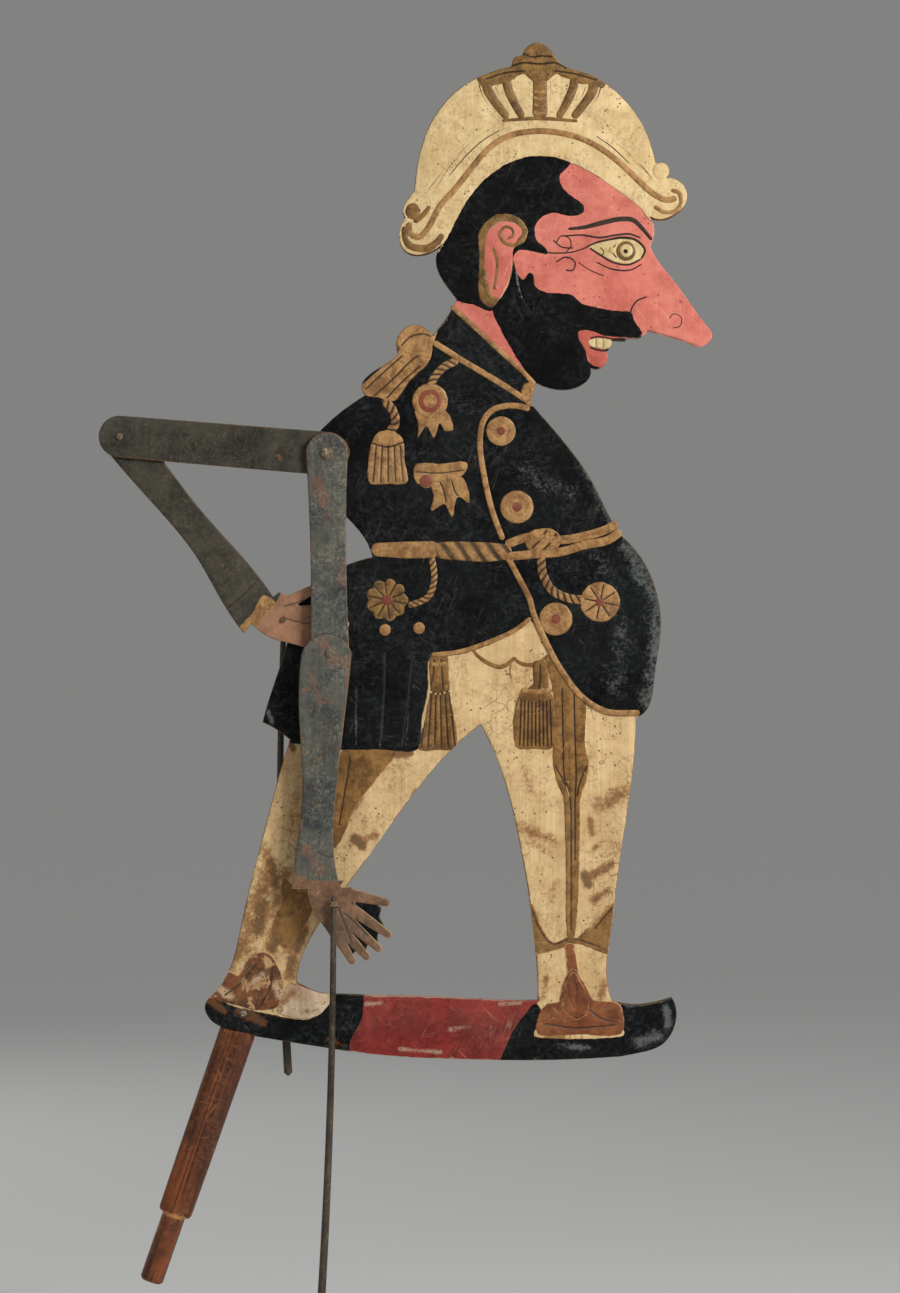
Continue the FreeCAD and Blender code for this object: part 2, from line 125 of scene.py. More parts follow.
def open_edges(faces: np.ndarray, count: int) -> np.ndarray:
    """Edges of triangles that no other triangle runs along the other way.

    Args:
        faces: Corners of each triangle.
        count: Number of points.

    Returns:
        The two ends of each such edge.
    """
    edges = np.vstack([faces[:, [0, 1]], faces[:, [1, 2]], faces[:, [2, 0]]]).astype(np.int64)
    key = edges[:, 0] * count + edges[:, 1]
    return edges[~np.isin(key, edges[:, 1] * count + edges[:, 0])]


def node_box(node: str) -> tuple[np.ndarray, np.ndarray]:
    """Low and high corner of a node of the frame, in millimetres."""
    low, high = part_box(node)
    return np.array(low) / METRE, np.array(high) / METRE


def middle_of(low: np.ndarray, high: np.ndarray) -> tuple[float, float]:
    """Middle (x, z) of a box."""
    return (low[0] + high[0]) / 2, (low[2] + high[2]) / 2


def turns_of(count: int) -> np.ndarray:
    """Evenly spaced angles of a whole turn."""
    return np.linspace(0, WHOLE_TURN, count, endpoint=False)


def smooth(points: np.ndarray, step: float, closed: bool) -> np.ndarray:
    """Samples a smooth curve through points.

    The curve is a centripetal Catmull-Rom spline: each span blends three straight runs between
    knots that are spaced by the square root of the distance, so it never swings past a corner.

    Args:
        points: Places the curve passes through.
        step: Wanted distance between samples.
        closed: True if the curve returns to its start.

    Returns:
        The sampled places.
    """
    if closed:
        held = np.vstack([points[-1:], points, points[:2]])
    else:
        held = np.vstack([2 * points[:1] - points[1:2], points, 2 * points[-1:] - points[-2:-1]])
    length = np.maximum(np.linalg.norm(np.diff(held, axis=0), axis=1), 1e-6)
    knot = np.sqrt(length)
    count = np.maximum(1, np.round(length[1:-1] / step)).astype(int)
    span = np.repeat(np.arange(len(count)), count)
    share = (np.arange(count.sum()) - np.repeat(np.cumsum(count) - count, count)) / count[span]
    p0, p1, p2, p3 = (held[span + k] for k in range(4))
    t1 = knot[span][:, None]
    t2 = t1 + knot[span + 1][:, None]
    t3 = t2 + knot[span + 2][:, None]
    t = t1 + share[:, None] * (t2 - t1)
    a1 = ((t1 - t) * p0 + t * p1) / t1
    a2 = ((t2 - t) * p1 + (t - t1) * p2) / (t2 - t1)
    a3 = ((t3 - t) * p2 + (t - t2) * p3) / (t3 - t2)
    b1 = ((t2 - t) * a1 + t * a2) / t2
    b2 = ((t3 - t) * a2 + (t - t1) * a3) / (t3 - t1)
    curve = ((t2 - t) * b1 + (t - t1) * b2) / (t2 - t1)
    return curve if closed else np.vstack([curve, points[-1:]])


@dataclass
class Outline:
    """Edges that bound an area of the object's plane, with the area on their left."""

    points: np.ndarray
    edges: np.ndarray

    @classmethod
    def through(cls, points: np.ndarray, step: float) -> "Outline":
        """Closed smooth outline through points, with the slight unsteadiness of a hand-led knife.

        The unsteadiness is a sum of three sine waves round the loop, seeded by where it lies.

        Args:
            points: Places (x, z) in millimetres, in either direction.
            step: Distance between samples.

        Returns:
            The outline.
        """
        loop = smooth(points, step, True)
        middle = loop.mean(axis=0)
        turn = turns_of(len(loop))
        seed = int(abs(middle[0] * 131 + middle[1] * 17)) % 9973
        random = np.random.default_rng(seed)
        count = max(3, int(len(loop) * step / WANDER_LENGTH))
        waves = count * np.array([0.5, 1.0, 1.7]).round(2)
        shake = sum(np.sin(np.round(wave) * turn + random.uniform(0, 6.28)) for wave in waves)
        run = unit(np.roll(loop, -1, axis=0) - np.roll(loop, 1, axis=0))
        loop = loop + leftward(run) * (shake * HAND_SHAKE)[:, None]
        ahead = np.roll(loop, -1, axis=0)
        area = np.sum(loop[:, 0] * ahead[:, 1] - ahead[:, 0] * loop[:, 1])
        loop = loop if area > 0 else loop[::-1]
        index = np.arange(len(loop))
        return cls(loop, np.column_stack([index, np.roll(index, -1)]))

    @classmethod
    def of_node(cls, name: str, step: float) -> "Outline":
        """Outline of the front face of a node of the frame.

        The face's triangles are those that lie in the plane of its lowest y; an edge that only
        one of them has is on the outline.

        Args:
            name: The node.
            step: Longest edge that is left whole.

        Returns:
            The outline, holes included.
        """
        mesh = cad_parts[name].data
        place = np.zeros(len(mesh.vertices) * 3, np.float32)
        mesh.vertices.foreach_get("co", place)
        place = place.reshape(-1, 3).astype(float) / METRE
        mesh.calc_loop_triangles()
        face = np.zeros(len(mesh.loop_triangles) * 3, np.int32)
        mesh.loop_triangles.foreach_get("vertices", face)
        face = face.reshape(-1, 3)
        front = place[:, 1].min()
        face = face[np.all(place[face][:, :, 1] < front + FACE_DEPTH, axis=1)]
        flat, same = np.unique(np.round(place[:, [0, 2]], 3), axis=0, return_inverse=True)
        face = same.reshape(-1)[face]
        corner = flat[face]
        first, second = corner[:, 1] - corner[:, 0], corner[:, 2] - corner[:, 0]
        turn = first[:, 0] * second[:, 1] - first[:, 1] * second[:, 0]
        face = np.where(turn[:, None] > 0, face, face[:, ::-1])[np.abs(turn) > TINY]
        rim = open_edges(face, len(flat))
        used, again = np.unique(rim, return_inverse=True)
        return cls(flat[used], again.reshape(-1, 2)).divided(step)

    def divided(self, step: float) -> "Outline":
        """Outline with each long edge cut into equal runs.

        Args:
            step: Longest edge that is left whole.

        Returns:
            The finer outline.
        """
        start, end = self.points[self.edges[:, 0]], self.points[self.edges[:, 1]]
        count = np.maximum(1, np.ceil(np.linalg.norm(end - start, axis=1) / step)).astype(int)
        row = np.repeat(np.arange(len(count)), count)
        rank = np.arange(count.sum()) - np.repeat(np.cumsum(count) - count, count)
        share = (rank / count[row])[:, None]
        place = start[row] * (1 - share) + end[row] * share
        number = len(self.points) + np.arange(len(row))
        number = np.where(rank == 0, self.edges[row, 0], number)
        last = rank == count[row] - 1
        after = np.where(last, self.edges[row, 1], np.roll(number, -1))
        points = np.vstack([self.points, place])
        edges = np.column_stack([number, after])
        used, again = np.unique(edges, return_inverse=True)
        return Outline(points[used], again.reshape(-1, 2))

    def normals(self) -> np.ndarray:
        """Unit direction into the area at each point, the mean of its two edges' directions."""
        left = leftward(unit(self.points[self.edges[:, 1]] - self.points[self.edges[:, 0]]))
        total = np.zeros_like(self.points)
        np.add.at(total, self.edges[:, 0], left)
        np.add.at(total, self.edges[:, 1], left)
        return unit(total)

    def inset(self, distance: float) -> "Outline":
        """The outline moved into its area by a small distance."""
        return Outline(self.points + self.normals() * distance, self.edges)

    def near(self, low: np.ndarray, high: np.ndarray) -> "Outline":
        """The edges that touch a box."""
        start, end = self.points[self.edges[:, 0]], self.points[self.edges[:, 1]]
        keep = np.all((np.maximum(start, end) >= low) & (np.minimum(start, end) <= high), axis=1)
        used, again = np.unique(self.edges[keep], return_inverse=True)
        return Outline(self.points[used], again.reshape(-1, 2))

    def inside(self, places: np.ndarray) -> np.ndarray:
        """Tells which places lie in the area, by counting the edges to their right.

        Args:
            places: Places (x, z).

        Returns:
            True for each place inside.
        """
        start, end = self.points[self.edges[:, 0]], self.points[self.edges[:, 1]]
        rise = end[:, 1] - start[:, 1]
        rise = np.where(np.abs(rise) < 1e-12, 1e-12, rise)
        found = []
        for part in np.array_split(places, max(1, len(places) // PART_SIZE)):
            level = part[:, 1:2]
            crosses = (start[:, 1] > level) != (end[:, 1] > level)
            reach = start[:, 0] + (level - start[:, 1]) * (end[:, 0] - start[:, 0]) / rise
            found.append(np.sum(crosses & (part[:, 0:1] < reach), axis=1) % 2 == 1)
        return np.concatenate(found)

    def distance(self, places: np.ndarray) -> np.ndarray:
        """Distance from each place to the nearest edge.

        Args:
            places: Places (x, z).

        Returns:
            Distances in millimetres.
        """
        if not len(self.edges):
            return np.full(len(places), 1e3)
        start, end = self.points[self.edges[:, 0]], self.points[self.edges[:, 1]]
        return distance_to_runs(places, start, end)


def distance_to_runs(places: np.ndarray, start: np.ndarray, end: np.ndarray) -> np.ndarray:
    """Distance from each place to the nearest of many straight runs.

    Args:
        places: Places (x, z).
        start: Start of each run.
        end: End of each run.

    Returns:
        Distances in millimetres.
    """
    run = end - start
    size = np.maximum(np.sum(run * run, axis=1), 1e-12)
    found = []
    for part in np.array_split(places, max(1, len(places) // PART_SIZE)):
        off = part[:, None, :] - start[None]
        share = np.clip(np.einsum("pse,se->ps", off, run) / size, 0, 1)
        gap = off - share[:, :, None] * run
        found.append(np.sqrt(np.min(np.einsum("pse,pse->ps", gap, gap), axis=1)))
    return np.concatenate(found)


@dataclass
class Shell:
    """One closed surface, in millimetres.

    The named values at its points are: rim, near 1 along an edge that gets rubbed; groove, near 1
    at the bottom of a cut, where the finish paints dirt and shade; then the strength of a drawn
    mark, which is a spill or a rubbed patch on most pieces and grey dust with a painted highlight
    on the coat flap; along, the distance in millimetres down a long piece; and twist, the strand
    pattern of a cord.
    """

    points: np.ndarray
    faces: list[np.ndarray]
    values: dict[str, np.ndarray] = field(default_factory=dict)


VALUES = ("rim", "groove", "stain", "along", "twist")


def add_piece(name: str, shells: list[Shell], finish: "Finish", body: str,
              replaced: tuple[str, ...] = (), crease: float = 38.0) -> None:
    """Makes one piece from closed shells and lets it ride on a body.

    Args:
        name: Piece name.
        shells: Its surfaces.
        finish: Its surface.
        body: Body it rides on.
        replaced: Nodes of the frame that it stands for.
        crease: Angle in degrees past which an edge looks sharp.
    """
    starts = np.cumsum([0] + [len(shell.points) for shell in shells])
    points = np.vstack([shell.points for shell in shells]) * METRE
    blocks = [block + start for start, shell in zip(starts, shells) for block in shell.faces]
    corner = np.concatenate([block.reshape(-1) for block in blocks])
    total = np.concatenate([np.full(len(block), block.shape[1]) for block in blocks])
    mesh = bpy.data.meshes.new(name)
    mesh.vertices.add(len(points))
    mesh.vertices.foreach_set("co", points.astype(np.float32).reshape(-1))
    mesh.loops.add(len(corner))
    mesh.loops.foreach_set("vertex_index", corner.astype(np.int32))
    mesh.polygons.add(len(total))
    mesh.polygons.foreach_set("loop_start", (np.cumsum(total) - total).astype(np.int32))
    for key in VALUES:
        value = [shell.values.get(key, np.zeros(len(shell.points))) for shell in shells]
        mesh.attributes.new(key, "FLOAT", "POINT").data.foreach_set(
            "value", np.concatenate(value).astype(np.float32))
    mesh.materials.append(finish.build())
    mesh.update(calc_edges=True)
    mesh.polygons.foreach_set("use_smooth", np.ones(len(total), bool))
    mesh.set_sharp_from_angle(angle=math.radians(crease))
    piece = bpy.data.objects.new(name, mesh)
    bpy.context.scene.collection.objects.link(piece)
    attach(piece, body)
    if replaced:
        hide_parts(*replaced)
    log.info("%s: %d faces on %s", name, len(total), body)


@dataclass(frozen=True)
class Groove:
    """A cut line in a carved face: its path in drawing units, half width and depth in mm."""

    path: Line
    width: float = 0.5
    depth: float = 0.35


@dataclass(frozen=True)
class Carving:
    """How a flat area is given depth: the heights are distances from the board's middle plane."""

    top: float
    bevel: float = 0.5
    crown: float = 0.0
    crown_reach: float = 4.0
    spacing: float = 3.0
    cut_step: float = 0.8
    rim_reach: float = 0.9


def carve(area: Outline, shape: Carving, clip: Outline | None = None,
          grooves: tuple[Groove, ...] = (), seeds: np.ndarray | None = None) -> Shell:
    """Closed slab over an area, with rounded edges and cut lines on both faces.

    The face's height is top minus bevel plus the quarter circle of the bevel over the distance d
    from the edge, plus crown times (1 - exp(-d / reach)), less each groove's depth times a bell
    curve of the distance to its path. The back face is its mirror image.

    Args:
        area: Outline of the slab.
        shape: Its heights.
        clip: Outline that the slab is cut off by.
        grooves: Cut lines.
        seeds: Extra places that the mesh gets a point at.

    Returns:
        The slab.
    """
    low, high = area.points.min(0) - 1, area.points.max(0) + 1
    borders = [area] + ([clip.near(low, high)] if clip is not None else [])
    limits = [area] + ([clip] if clip is not None else [])
    cuts = [(smooth(drawn(cut.path), shape.cut_step, False), cut.width, cut.depth)
            for cut in grooves]

    def depth(places: np.ndarray) -> np.ndarray:
        """Distance of places to the nearest border."""
        return np.min([border.distance(places) for border in borders], axis=0)

    def within(places: np.ndarray) -> np.ndarray:
        """True for places that every outline holds."""
        return np.all([limit.inside(places) for limit in limits], axis=0)

    bevel = shape.bevel
    extra = []
    for border in borders:
        held = border.points[area.inside(border.points)] if border is not area else border.points
        inward = border.normals()
        inward = inward[area.inside(border.points)] if border is not area else inward
        for share in BEVEL_RINGS:
            ring = held + inward * bevel * share
            if len(ring):
                extra.append(ring[depth(ring) > bevel * share * 0.97])
    span = np.arange(low[0], high[0], shape.spacing)
    rise = np.arange(low[1], high[1], shape.spacing * 0.87)
    x, z = np.meshgrid(span, rise)
    x = x + (np.arange(len(rise))[:, None] % 2) * shape.spacing / 2
    grid = np.column_stack([x.ravel(), z.ravel()])
    extra.append(grid[depth(grid) > bevel + shape.spacing * 0.35])
    for path, width, _ in cuts:
        side = leftward(unit(np.gradient(path, axis=0))) * width
        for shift in CUT_RINGS:
            extra.append(path + side * shift)
    if seeds is not None:
        extra.append(seeds)
    spare = np.vstack(extra)
    spare = spare[within(spare)]
    spare = spare[depth(spare) > CLEAR_OF_EDGE]
    cell = np.round(spare / NEAREST_SPARE).astype(int)
    spare = spare[np.unique(cell, axis=0, return_index=True)[1]]
    vertices = [border.points for border in borders] + [spare]
    offset = np.cumsum([0] + [len(part) for part in vertices])
    edges = np.vstack([border.edges + start for border, start in zip(borders, offset)])
    flat, _, face, _, _, _ = delaunay_2d_cdt(
        [Vector(place) for place in np.vstack(vertices)], edges.tolist(), [], 0, 1e-4, False)
    flat, face = np.array([tuple(place) for place in flat]), np.array(face)
    middle = flat[face].mean(axis=1)
    face = face[within(middle)]
    used, face = np.unique(face, return_inverse=True)
    flat, face = flat[used], face.reshape(-1, 3)

    rim = open_edges(face, len(flat))
    away = depth(flat)
    away[rim.ravel()] = 0.0
    curve = np.sqrt(np.maximum(0, bevel ** 2 - (bevel - np.minimum(away, bevel)) ** 2))
    lift = curve - bevel + shape.crown * (1 - np.exp(-away / shape.crown_reach))
    # The groove value, highest at the bottom of each cut, is darkened by the finish: dirt and
    # painted shade
    groove = np.zeros(len(flat))
    for path, width, cut in cuts:
        bell = np.exp(-(distance_to_runs(flat, path[:-1], path[1:]) / width) ** 2)
        lift = lift - cut * bell
        groove = np.maximum(groove, bell)
    front = np.column_stack([flat[:, 0], -(shape.top + lift), flat[:, 1]])
    back = front * (1, -1, 1)
    count = len(flat)
    walls = np.column_stack([rim[:, 0], rim[:, 0] + count, rim[:, 1] + count, rim[:, 1]])
    edge = np.exp(-away / shape.rim_reach)
    return Shell(np.vstack([front, back]), [face, face[:, ::-1] + count, walls],
                 {"rim": np.tile(edge, 2), "groove": np.tile(groove, 2)})


def close_rings(rings: np.ndarray, ends: np.ndarray, values: dict[str, np.ndarray]) -> Shell:
    """Closed surface from a grid of rings, with a point in the middle of each end.

    Each ring runs anticlockwise when it is looked at against the way the rings advance.

    Args:
        rings: Places, rings by corners by 3.
        ends: The two middle places.
        values: Values at the grid's points, rings by corners.

    Returns:
        The surface.
    """
    count, corners = rings.shape[:2]
    index = np.arange(count * corners).reshape(count, corners)
    right = np.roll(index, -1, axis=1)
    sides = np.stack([index[:-1], right[:-1], right[1:], index[1:]], axis=-1).reshape(-1, 4)
    first = np.column_stack([right[0], index[0], np.full(corners, count * corners)])
    last = np.column_stack([index[-1], right[-1], np.full(corners, count * corners + 1)])
    held = {key: np.concatenate([value.ravel(), [value[0].mean(), value[-1].mean()]])
            for key, value in values.items()}
    return Shell(np.vstack([rings.reshape(-1, 3), ends]), [sides, first, last], held)


def ribbon(trim: "Trim", step: float = 0.7) -> Shell:
    """Raised trim that follows a drawn line on both faces of the board.

    Across the line the front is half an ellipse on the level base, and the back is its mirror
    image. Its width w(s) runs evenly through the given widths and closes over the last
    half width at each end like a half circle. With strands, the height is cut by a cosine of
    s / strands plus the place across, which reads as a twisted cord.

    Args:
        trim: The line, its widths and heights.
        step: Distance between rings.

    Returns:
        The trim's surface.
    """
    line = smooth(drawn(trim.path), step, False)
    side = leftward(unit(np.gradient(line, axis=0)))
    along = distance_along(line)
    widths = np.atleast_1d(np.asarray(trim.width, float)) * DRAWING_UNIT / 2
    half = np.interp(along / along[-1], np.linspace(0, 1, len(widths)), widths)
    near_end = np.minimum(along, along[-1] - along)
    close = np.sqrt(np.clip(1 - (1 - np.clip(near_end / half, 0, 1)) ** 2, 0.02, 1))
    angle = np.linspace(0, math.pi, HALF_RING)
    across = np.concatenate([np.cos(angle), np.cos(angle[::-1])])
    way = np.repeat([-1.0, 1.0], HALF_RING)
    rise = np.concatenate([np.sin(angle), np.sin(angle[::-1])]) ** 0.8
    lift = trim.height * rise[None] * (0.25 + 0.75 * close[:, None])
    twist = np.zeros((len(line), 2 * HALF_RING))
    if trim.strands:
        wave = 0.5 - 0.5 * np.cos(WHOLE_TURN * (
            along[:, None] / trim.strands + across[None] * 0.45))
        twist = 1 - wave ** 0.6
        lift = lift * (1 - 0.5 * twist)
    y = way[None] * (trim.base + lift)
    reach = (half * close)[:, None, None] * across[None, :, None]
    flat = line[:, None, :] + side[:, None, :] * reach
    rings = np.stack([flat[:, :, 0], y, flat[:, :, 1]], axis=-1)
    ends = np.array([[line[0, 0], 0, line[0, 1]], [line[-1, 0], 0, line[-1, 1]]])
    rim = np.tile(rise[None] ** 2 * 0.55, (len(line), 1))
    # The valleys between the strands count as grooves, so the finish darkens them with painted
    # shade
    return close_rings(rings, ends, {"rim": rim, "groove": twist, "twist": twist,
                                     "along": np.repeat(along[:, None], len(way), axis=1)})


def wire(path: np.ndarray, radius: np.ndarray, normal: np.ndarray, corners: int = 16,
         lobes: int = 0, turn: float = 0.0) -> Shell:
    """Round piece along a path, with closed, rounded ends.

    The ring at distance s lies across the path: radius(s) times (cos a, sin a) in the frame of the
    given normal and its cross product with the path. With lobes the radius is cut by a cosine of
    lobes times a plus turn times s, the strands of a twisted thread.

    Args:
        path: Places along the middle, n by 3.
        radius: Radius at each place.
        normal: Direction across the path at each place.
        corners: Points round a ring.
        lobes: Strands, or 0 for a plain round piece.
        turn: Angle by which the strands turn for each millimetre.

    Returns:
        The piece.
    """
    run = unit(np.gradient(path, axis=0))
    first = unit(normal - run * np.sum(normal * run, axis=1, keepdims=True))
    second = np.cross(run, first)
    along = distance_along(path)
    near_end = np.minimum(along, along[-1] - along)
    close = np.sqrt(np.clip(1 - (1 - np.clip(near_end / radius / 0.8, 0, 1)) ** 2, 0.05, 1))
    angle = turns_of(corners)
    strand = np.zeros((len(path), corners))
    if lobes:
        strand = 0.5 - 0.5 * np.cos(lobes * angle[None] + turn * along[:, None])
    size = (radius * close)[:, None] * (1 - 0.22 * strand)
    rings = (path[:, None] + size[:, :, None] * (np.cos(angle)[None, :, None] * first[:, None]
                                                 + np.sin(angle)[None, :, None] * second[:, None]))
    # The valleys between the strands count as grooves, so the finish darkens them with painted
    # shade
    return close_rings(rings, path[[0, -1]], {
        "along": np.repeat(along[:, None], corners, axis=1), "twist": strand, "groove": strand,
        "rim": np.full((len(path), corners), 0.2)})


def turned(centre: tuple[float, float], profile: list[tuple[float, float]], corners: int = 40,
           petals: int = 0, depth: float = 0.0) -> Shell:
    """Round piece about an axis through the board, closed by a point at each pole.

    The profile gives radius and y from the front pole to the back pole. With petals, the radius is
    multiplied by 1 + depth * cos(petals * a) * (r / largest r).

    Args:
        centre: Place (x, z) of the axis.
        profile: Radius and y of each ring, poles left out but for their y.
        corners: Points round a ring.
        petals: Number of petals, or 0 for a plain round piece.
        depth: How far the petals swell.

    Returns:
        The piece.
    """
    ring = np.array(profile[1:-1], float)
    angle = turns_of(corners)
    swell = 1 + depth * np.cos(petals * angle)[None] * (ring[:, :1] / ring[:, 0].max())
    radius = ring[:, :1] * swell
    x = centre[0] + radius * np.cos(angle)[None]
    z = centre[1] - radius * np.sin(angle)[None]
    y = np.repeat(ring[:, 1:2], corners, axis=1)
    poles = np.array([[centre[0], profile[end][1], centre[1]] for end in (0, -1)])
    rim = np.repeat((ring[:, :1] / ring[:, 0].max()) ** 6, corners, axis=1)
    return close_rings(np.stack([x, y, z], axis=-1), poles, {"rim": rim})


def boss(centre: tuple[float, float], radius: float, base: float,
         outline: tuple[tuple[float, float], ...], petals: int = 0,
         depth: float = 0.0) -> Shell:
    """Turned button that shows on both faces of the board.

    Args:
        centre: Place in drawing units.
        radius: Radius in drawing units.
        base: Distance of its foot from the middle plane.
        outline: Share of the radius and height above the foot of each ring, from the pole out.
        petals: Number of petals.
        depth: How far the petals swell.

    Returns:
        The button.
    """
    size = radius * DRAWING_UNIT
    front = [(share * size, -(base + rise)) for share, rise in outline]
    back = [(share * size, base + rise) for share, rise in outline[::-1]]
    place = drawn([centre])[0]
    return turned((place[0], place[1]), front + back, petals=petals, depth=depth)


class Graph:
    """Short calls for the nodes of one material or one node group."""

    def __init__(self, tree: bpy.types.NodeTree) -> None:
        """Keeps the tree that nodes are added to."""
        self.tree = tree

    def put(self, socket: Socket, value: object) -> None:
        """Links a socket to another, or sets its value."""
        if isinstance(value, Socket):
            self.tree.links.new(value, socket)
        elif value is not None:
            socket.default_value = value

    def node(self, kind: str, **settings: object) -> bpy.types.Node:
        """Adds a node and sets its own settings."""
        made = self.tree.nodes.new(kind)
        for key, value in settings.items():
            setattr(made, key, value)
        return made

    def math(self, operation: str, first: object, second: object = None,
             clamp: bool = False) -> Socket:
        """Result of a math node."""
        made = self.node("ShaderNodeMath", operation=operation, use_clamp=clamp)
        self.put(made.inputs[0], first)
        self.put(made.inputs[1], second)
        return made.outputs[0]

    def times(self, first: object, second: object, clamp: bool = False) -> Socket:
        """Product."""
        return self.math("MULTIPLY", first, second, clamp)

    def plus(self, first: object, second: object, clamp: bool = False) -> Socket:
        """Sum."""
        return self.math("ADD", first, second, clamp)

    def minus(self, first: object, second: object) -> Socket:
        """Difference."""
        return self.math("SUBTRACT", first, second)

    def mix(self, share: object, first: object, second: object) -> Socket:
        """Colour between two colours."""
        made = self.node("ShaderNodeMix", data_type="RGBA")
        self.put(made.inputs[0], share)
        self.put(made.inputs[6], first)
        self.put(made.inputs[7], second)
        return made.outputs[2]

    def step(self, value: object, low: object, high: object) -> Socket:
        """Smooth rise from 0 at low to 1 at high."""
        made = self.node("ShaderNodeMapRange", interpolation_type="SMOOTHSTEP")
        for name, part in (("Value", value), ("From Min", low), ("From Max", high)):
            self.put(made.inputs[name], part)
        return made.outputs[0]

    def stretch(self, vector: object, scale: tuple[float, float, float],
                turn: tuple[float, float, float] = (0, 0, 0)) -> Socket:
        """Vector turned, then scaled along each axis."""
        made = self.node("ShaderNodeMapping", vector_type="TEXTURE")
        self.put(made.inputs["Vector"], vector)
        made.inputs["Rotation"].default_value = turn
        made.inputs["Scale"].default_value = [1 / part for part in scale]
        return made.outputs[0]

    def noise(self, vector: object, scale: object, detail: float = 3.0,
              rough: float = 0.55, bend: float = 0.0) -> Socket:
        """Value of a noise texture, about 0.5 in the middle."""
        made = self.node("ShaderNodeTexNoise")
        for name, part in (("Vector", vector), ("Scale", scale), ("Detail", detail),
                           ("Roughness", rough), ("Distortion", bend)):
            self.put(made.inputs[name], part)
        return made.outputs["Fac"]

    def cells(self, vector: object, scale: object, feature: str = "F1") -> Socket:
        """Distance of a Voronoi texture."""
        made = self.node("ShaderNodeTexVoronoi", feature=feature)
        self.put(made.inputs["Vector"], vector)
        self.put(made.inputs["Scale"], scale)
        return made.outputs["Distance"]

    def value(self, name: str) -> Socket:
        """A value that the piece's mesh holds at its points."""
        return self.node("ShaderNodeAttribute", attribute_name=name).outputs["Fac"]


class Effect(Enum):
    """Shader effects that several finishes share, each built once as a node group."""

    MOTTLE = "mottle"
    RUB = "rubbed_edges"
    CHIPS = "chips"
    SPECKS = "specks"
    SCRATCHES = "scratches"
    DUST = "dust"
    GRAIN = "wood_grain"
    CRAZE = "crazing"
    GRIT = "grit"
    STREAKS = "streaks"


def build_mottle(g: Graph, into: Inputs) -> Socket:
    """Cloudy patches: two sizes of noise, averaged and given more contrast."""
    broad = g.noise(into["Vector"], into["Scale"], 4, 0.6, 0.6)
    fine = g.noise(into["Vector"], g.times(into["Scale"], 5.3), 3, 0.6)
    both = g.plus(g.times(broad, 0.68), g.times(fine, 0.32))
    return g.step(both, 0.38, 0.64)


def build_rub(g: Graph, into: Inputs) -> Socket:
    """Wear where the rim value, broken up by noise, passes a limit set by the amount."""
    broken = g.noise(into["Vector"], 260, 4, 0.65)
    patch = g.noise(into["Vector"], 38, 2, 0.5)
    reach = g.times(into["Rim"], g.plus(g.times(patch, 1.5), 0.05))
    total = g.plus(reach, g.times(g.minus(broken, 0.5), 0.9))
    limit = g.minus(1.15, into["Amount"])
    return g.step(total, limit, g.plus(limit, 0.1))


def build_chips(g: Graph, into: Inputs) -> Socket:
    """Small flakes: rough noise above a limit, only where a broad noise is high."""
    rough = g.noise(into["Vector"], into["Scale"], 6, 0.7, 0.3)
    where = g.step(g.noise(into["Vector"], 24, 2, 0.5), 0.42, 0.62)
    limit = g.minus(0.80, g.times(into["Amount"], 0.25))
    return g.times(g.step(rough, limit, g.plus(limit, 0.03)), where)


def build_specks(g: Graph, into: Inputs) -> Socket:
    """Pin-sized spots: the middles of Voronoi cells, kept where noise is high."""
    spot = g.minus(1, g.step(g.cells(into["Vector"], into["Scale"]), 0.10, 0.24))
    kept = g.step(g.noise(into["Vector"], g.times(into["Scale"], 0.35), 1), 0.50, 0.60)
    return g.times(g.times(spot, kept), into["Amount"])


def build_scratches(g: Graph, into: Inputs) -> Socket:
    """Fine lines in three directions: bands of stretched noise where it crosses one half."""
    total: object = 0.0
    for number, turn in enumerate((0.35, -0.8, 1.45)):
        long = g.stretch(into["Vector"], (330, 90, 14), (0, turn, 0))
        line = g.math("ABSOLUTE", g.minus(g.noise(long, 1.0 + number * 0.3, 1), 0.5))
        kept = g.step(g.noise(into["Vector"], 55 + 9 * number, 1), 0.55, 0.68)
        mark = g.times(g.minus(1, g.step(line, 0.002, 0.012)), kept)
        total = g.math("MAXIMUM", total, mark)
    return g.times(total, into["Amount"])


def build_dust(g: Graph, into: Inputs) -> Socket:
    """Dull film: broad noise times fine noise, thicker on surfaces that face up."""
    broad = g.step(g.noise(into["Vector"], 17, 3, 0.6), 0.36, 0.68)
    fine = g.step(g.noise(into["Vector"], 420, 3, 0.7), 0.35, 0.75)
    up = g.node("ShaderNodeSeparateXYZ")
    g.put(up.inputs[0], g.node("ShaderNodeNewGeometry").outputs["Normal"])
    lift = g.times(g.math("MAXIMUM", up.outputs["Z"], 0), 0.5)
    film = g.times(broad, g.plus(g.times(fine, 0.7), 0.3))
    return g.times(g.plus(film, lift), into["Amount"], clamp=True)


def build_grain(g: Graph, into: Inputs) -> Socket:
    """Wood fibres along z: noise stretched many times longer than it is wide."""
    fibre = g.noise(g.stretch(into["Vector"], (900, 300, 22)), into["Scale"], 4, 0.65)
    band = g.noise(g.stretch(into["Vector"], (120, 60, 6)), into["Scale"], 2, 0.5, 0.8)
    return g.plus(g.times(fibre, 0.6), g.times(band, 0.4))


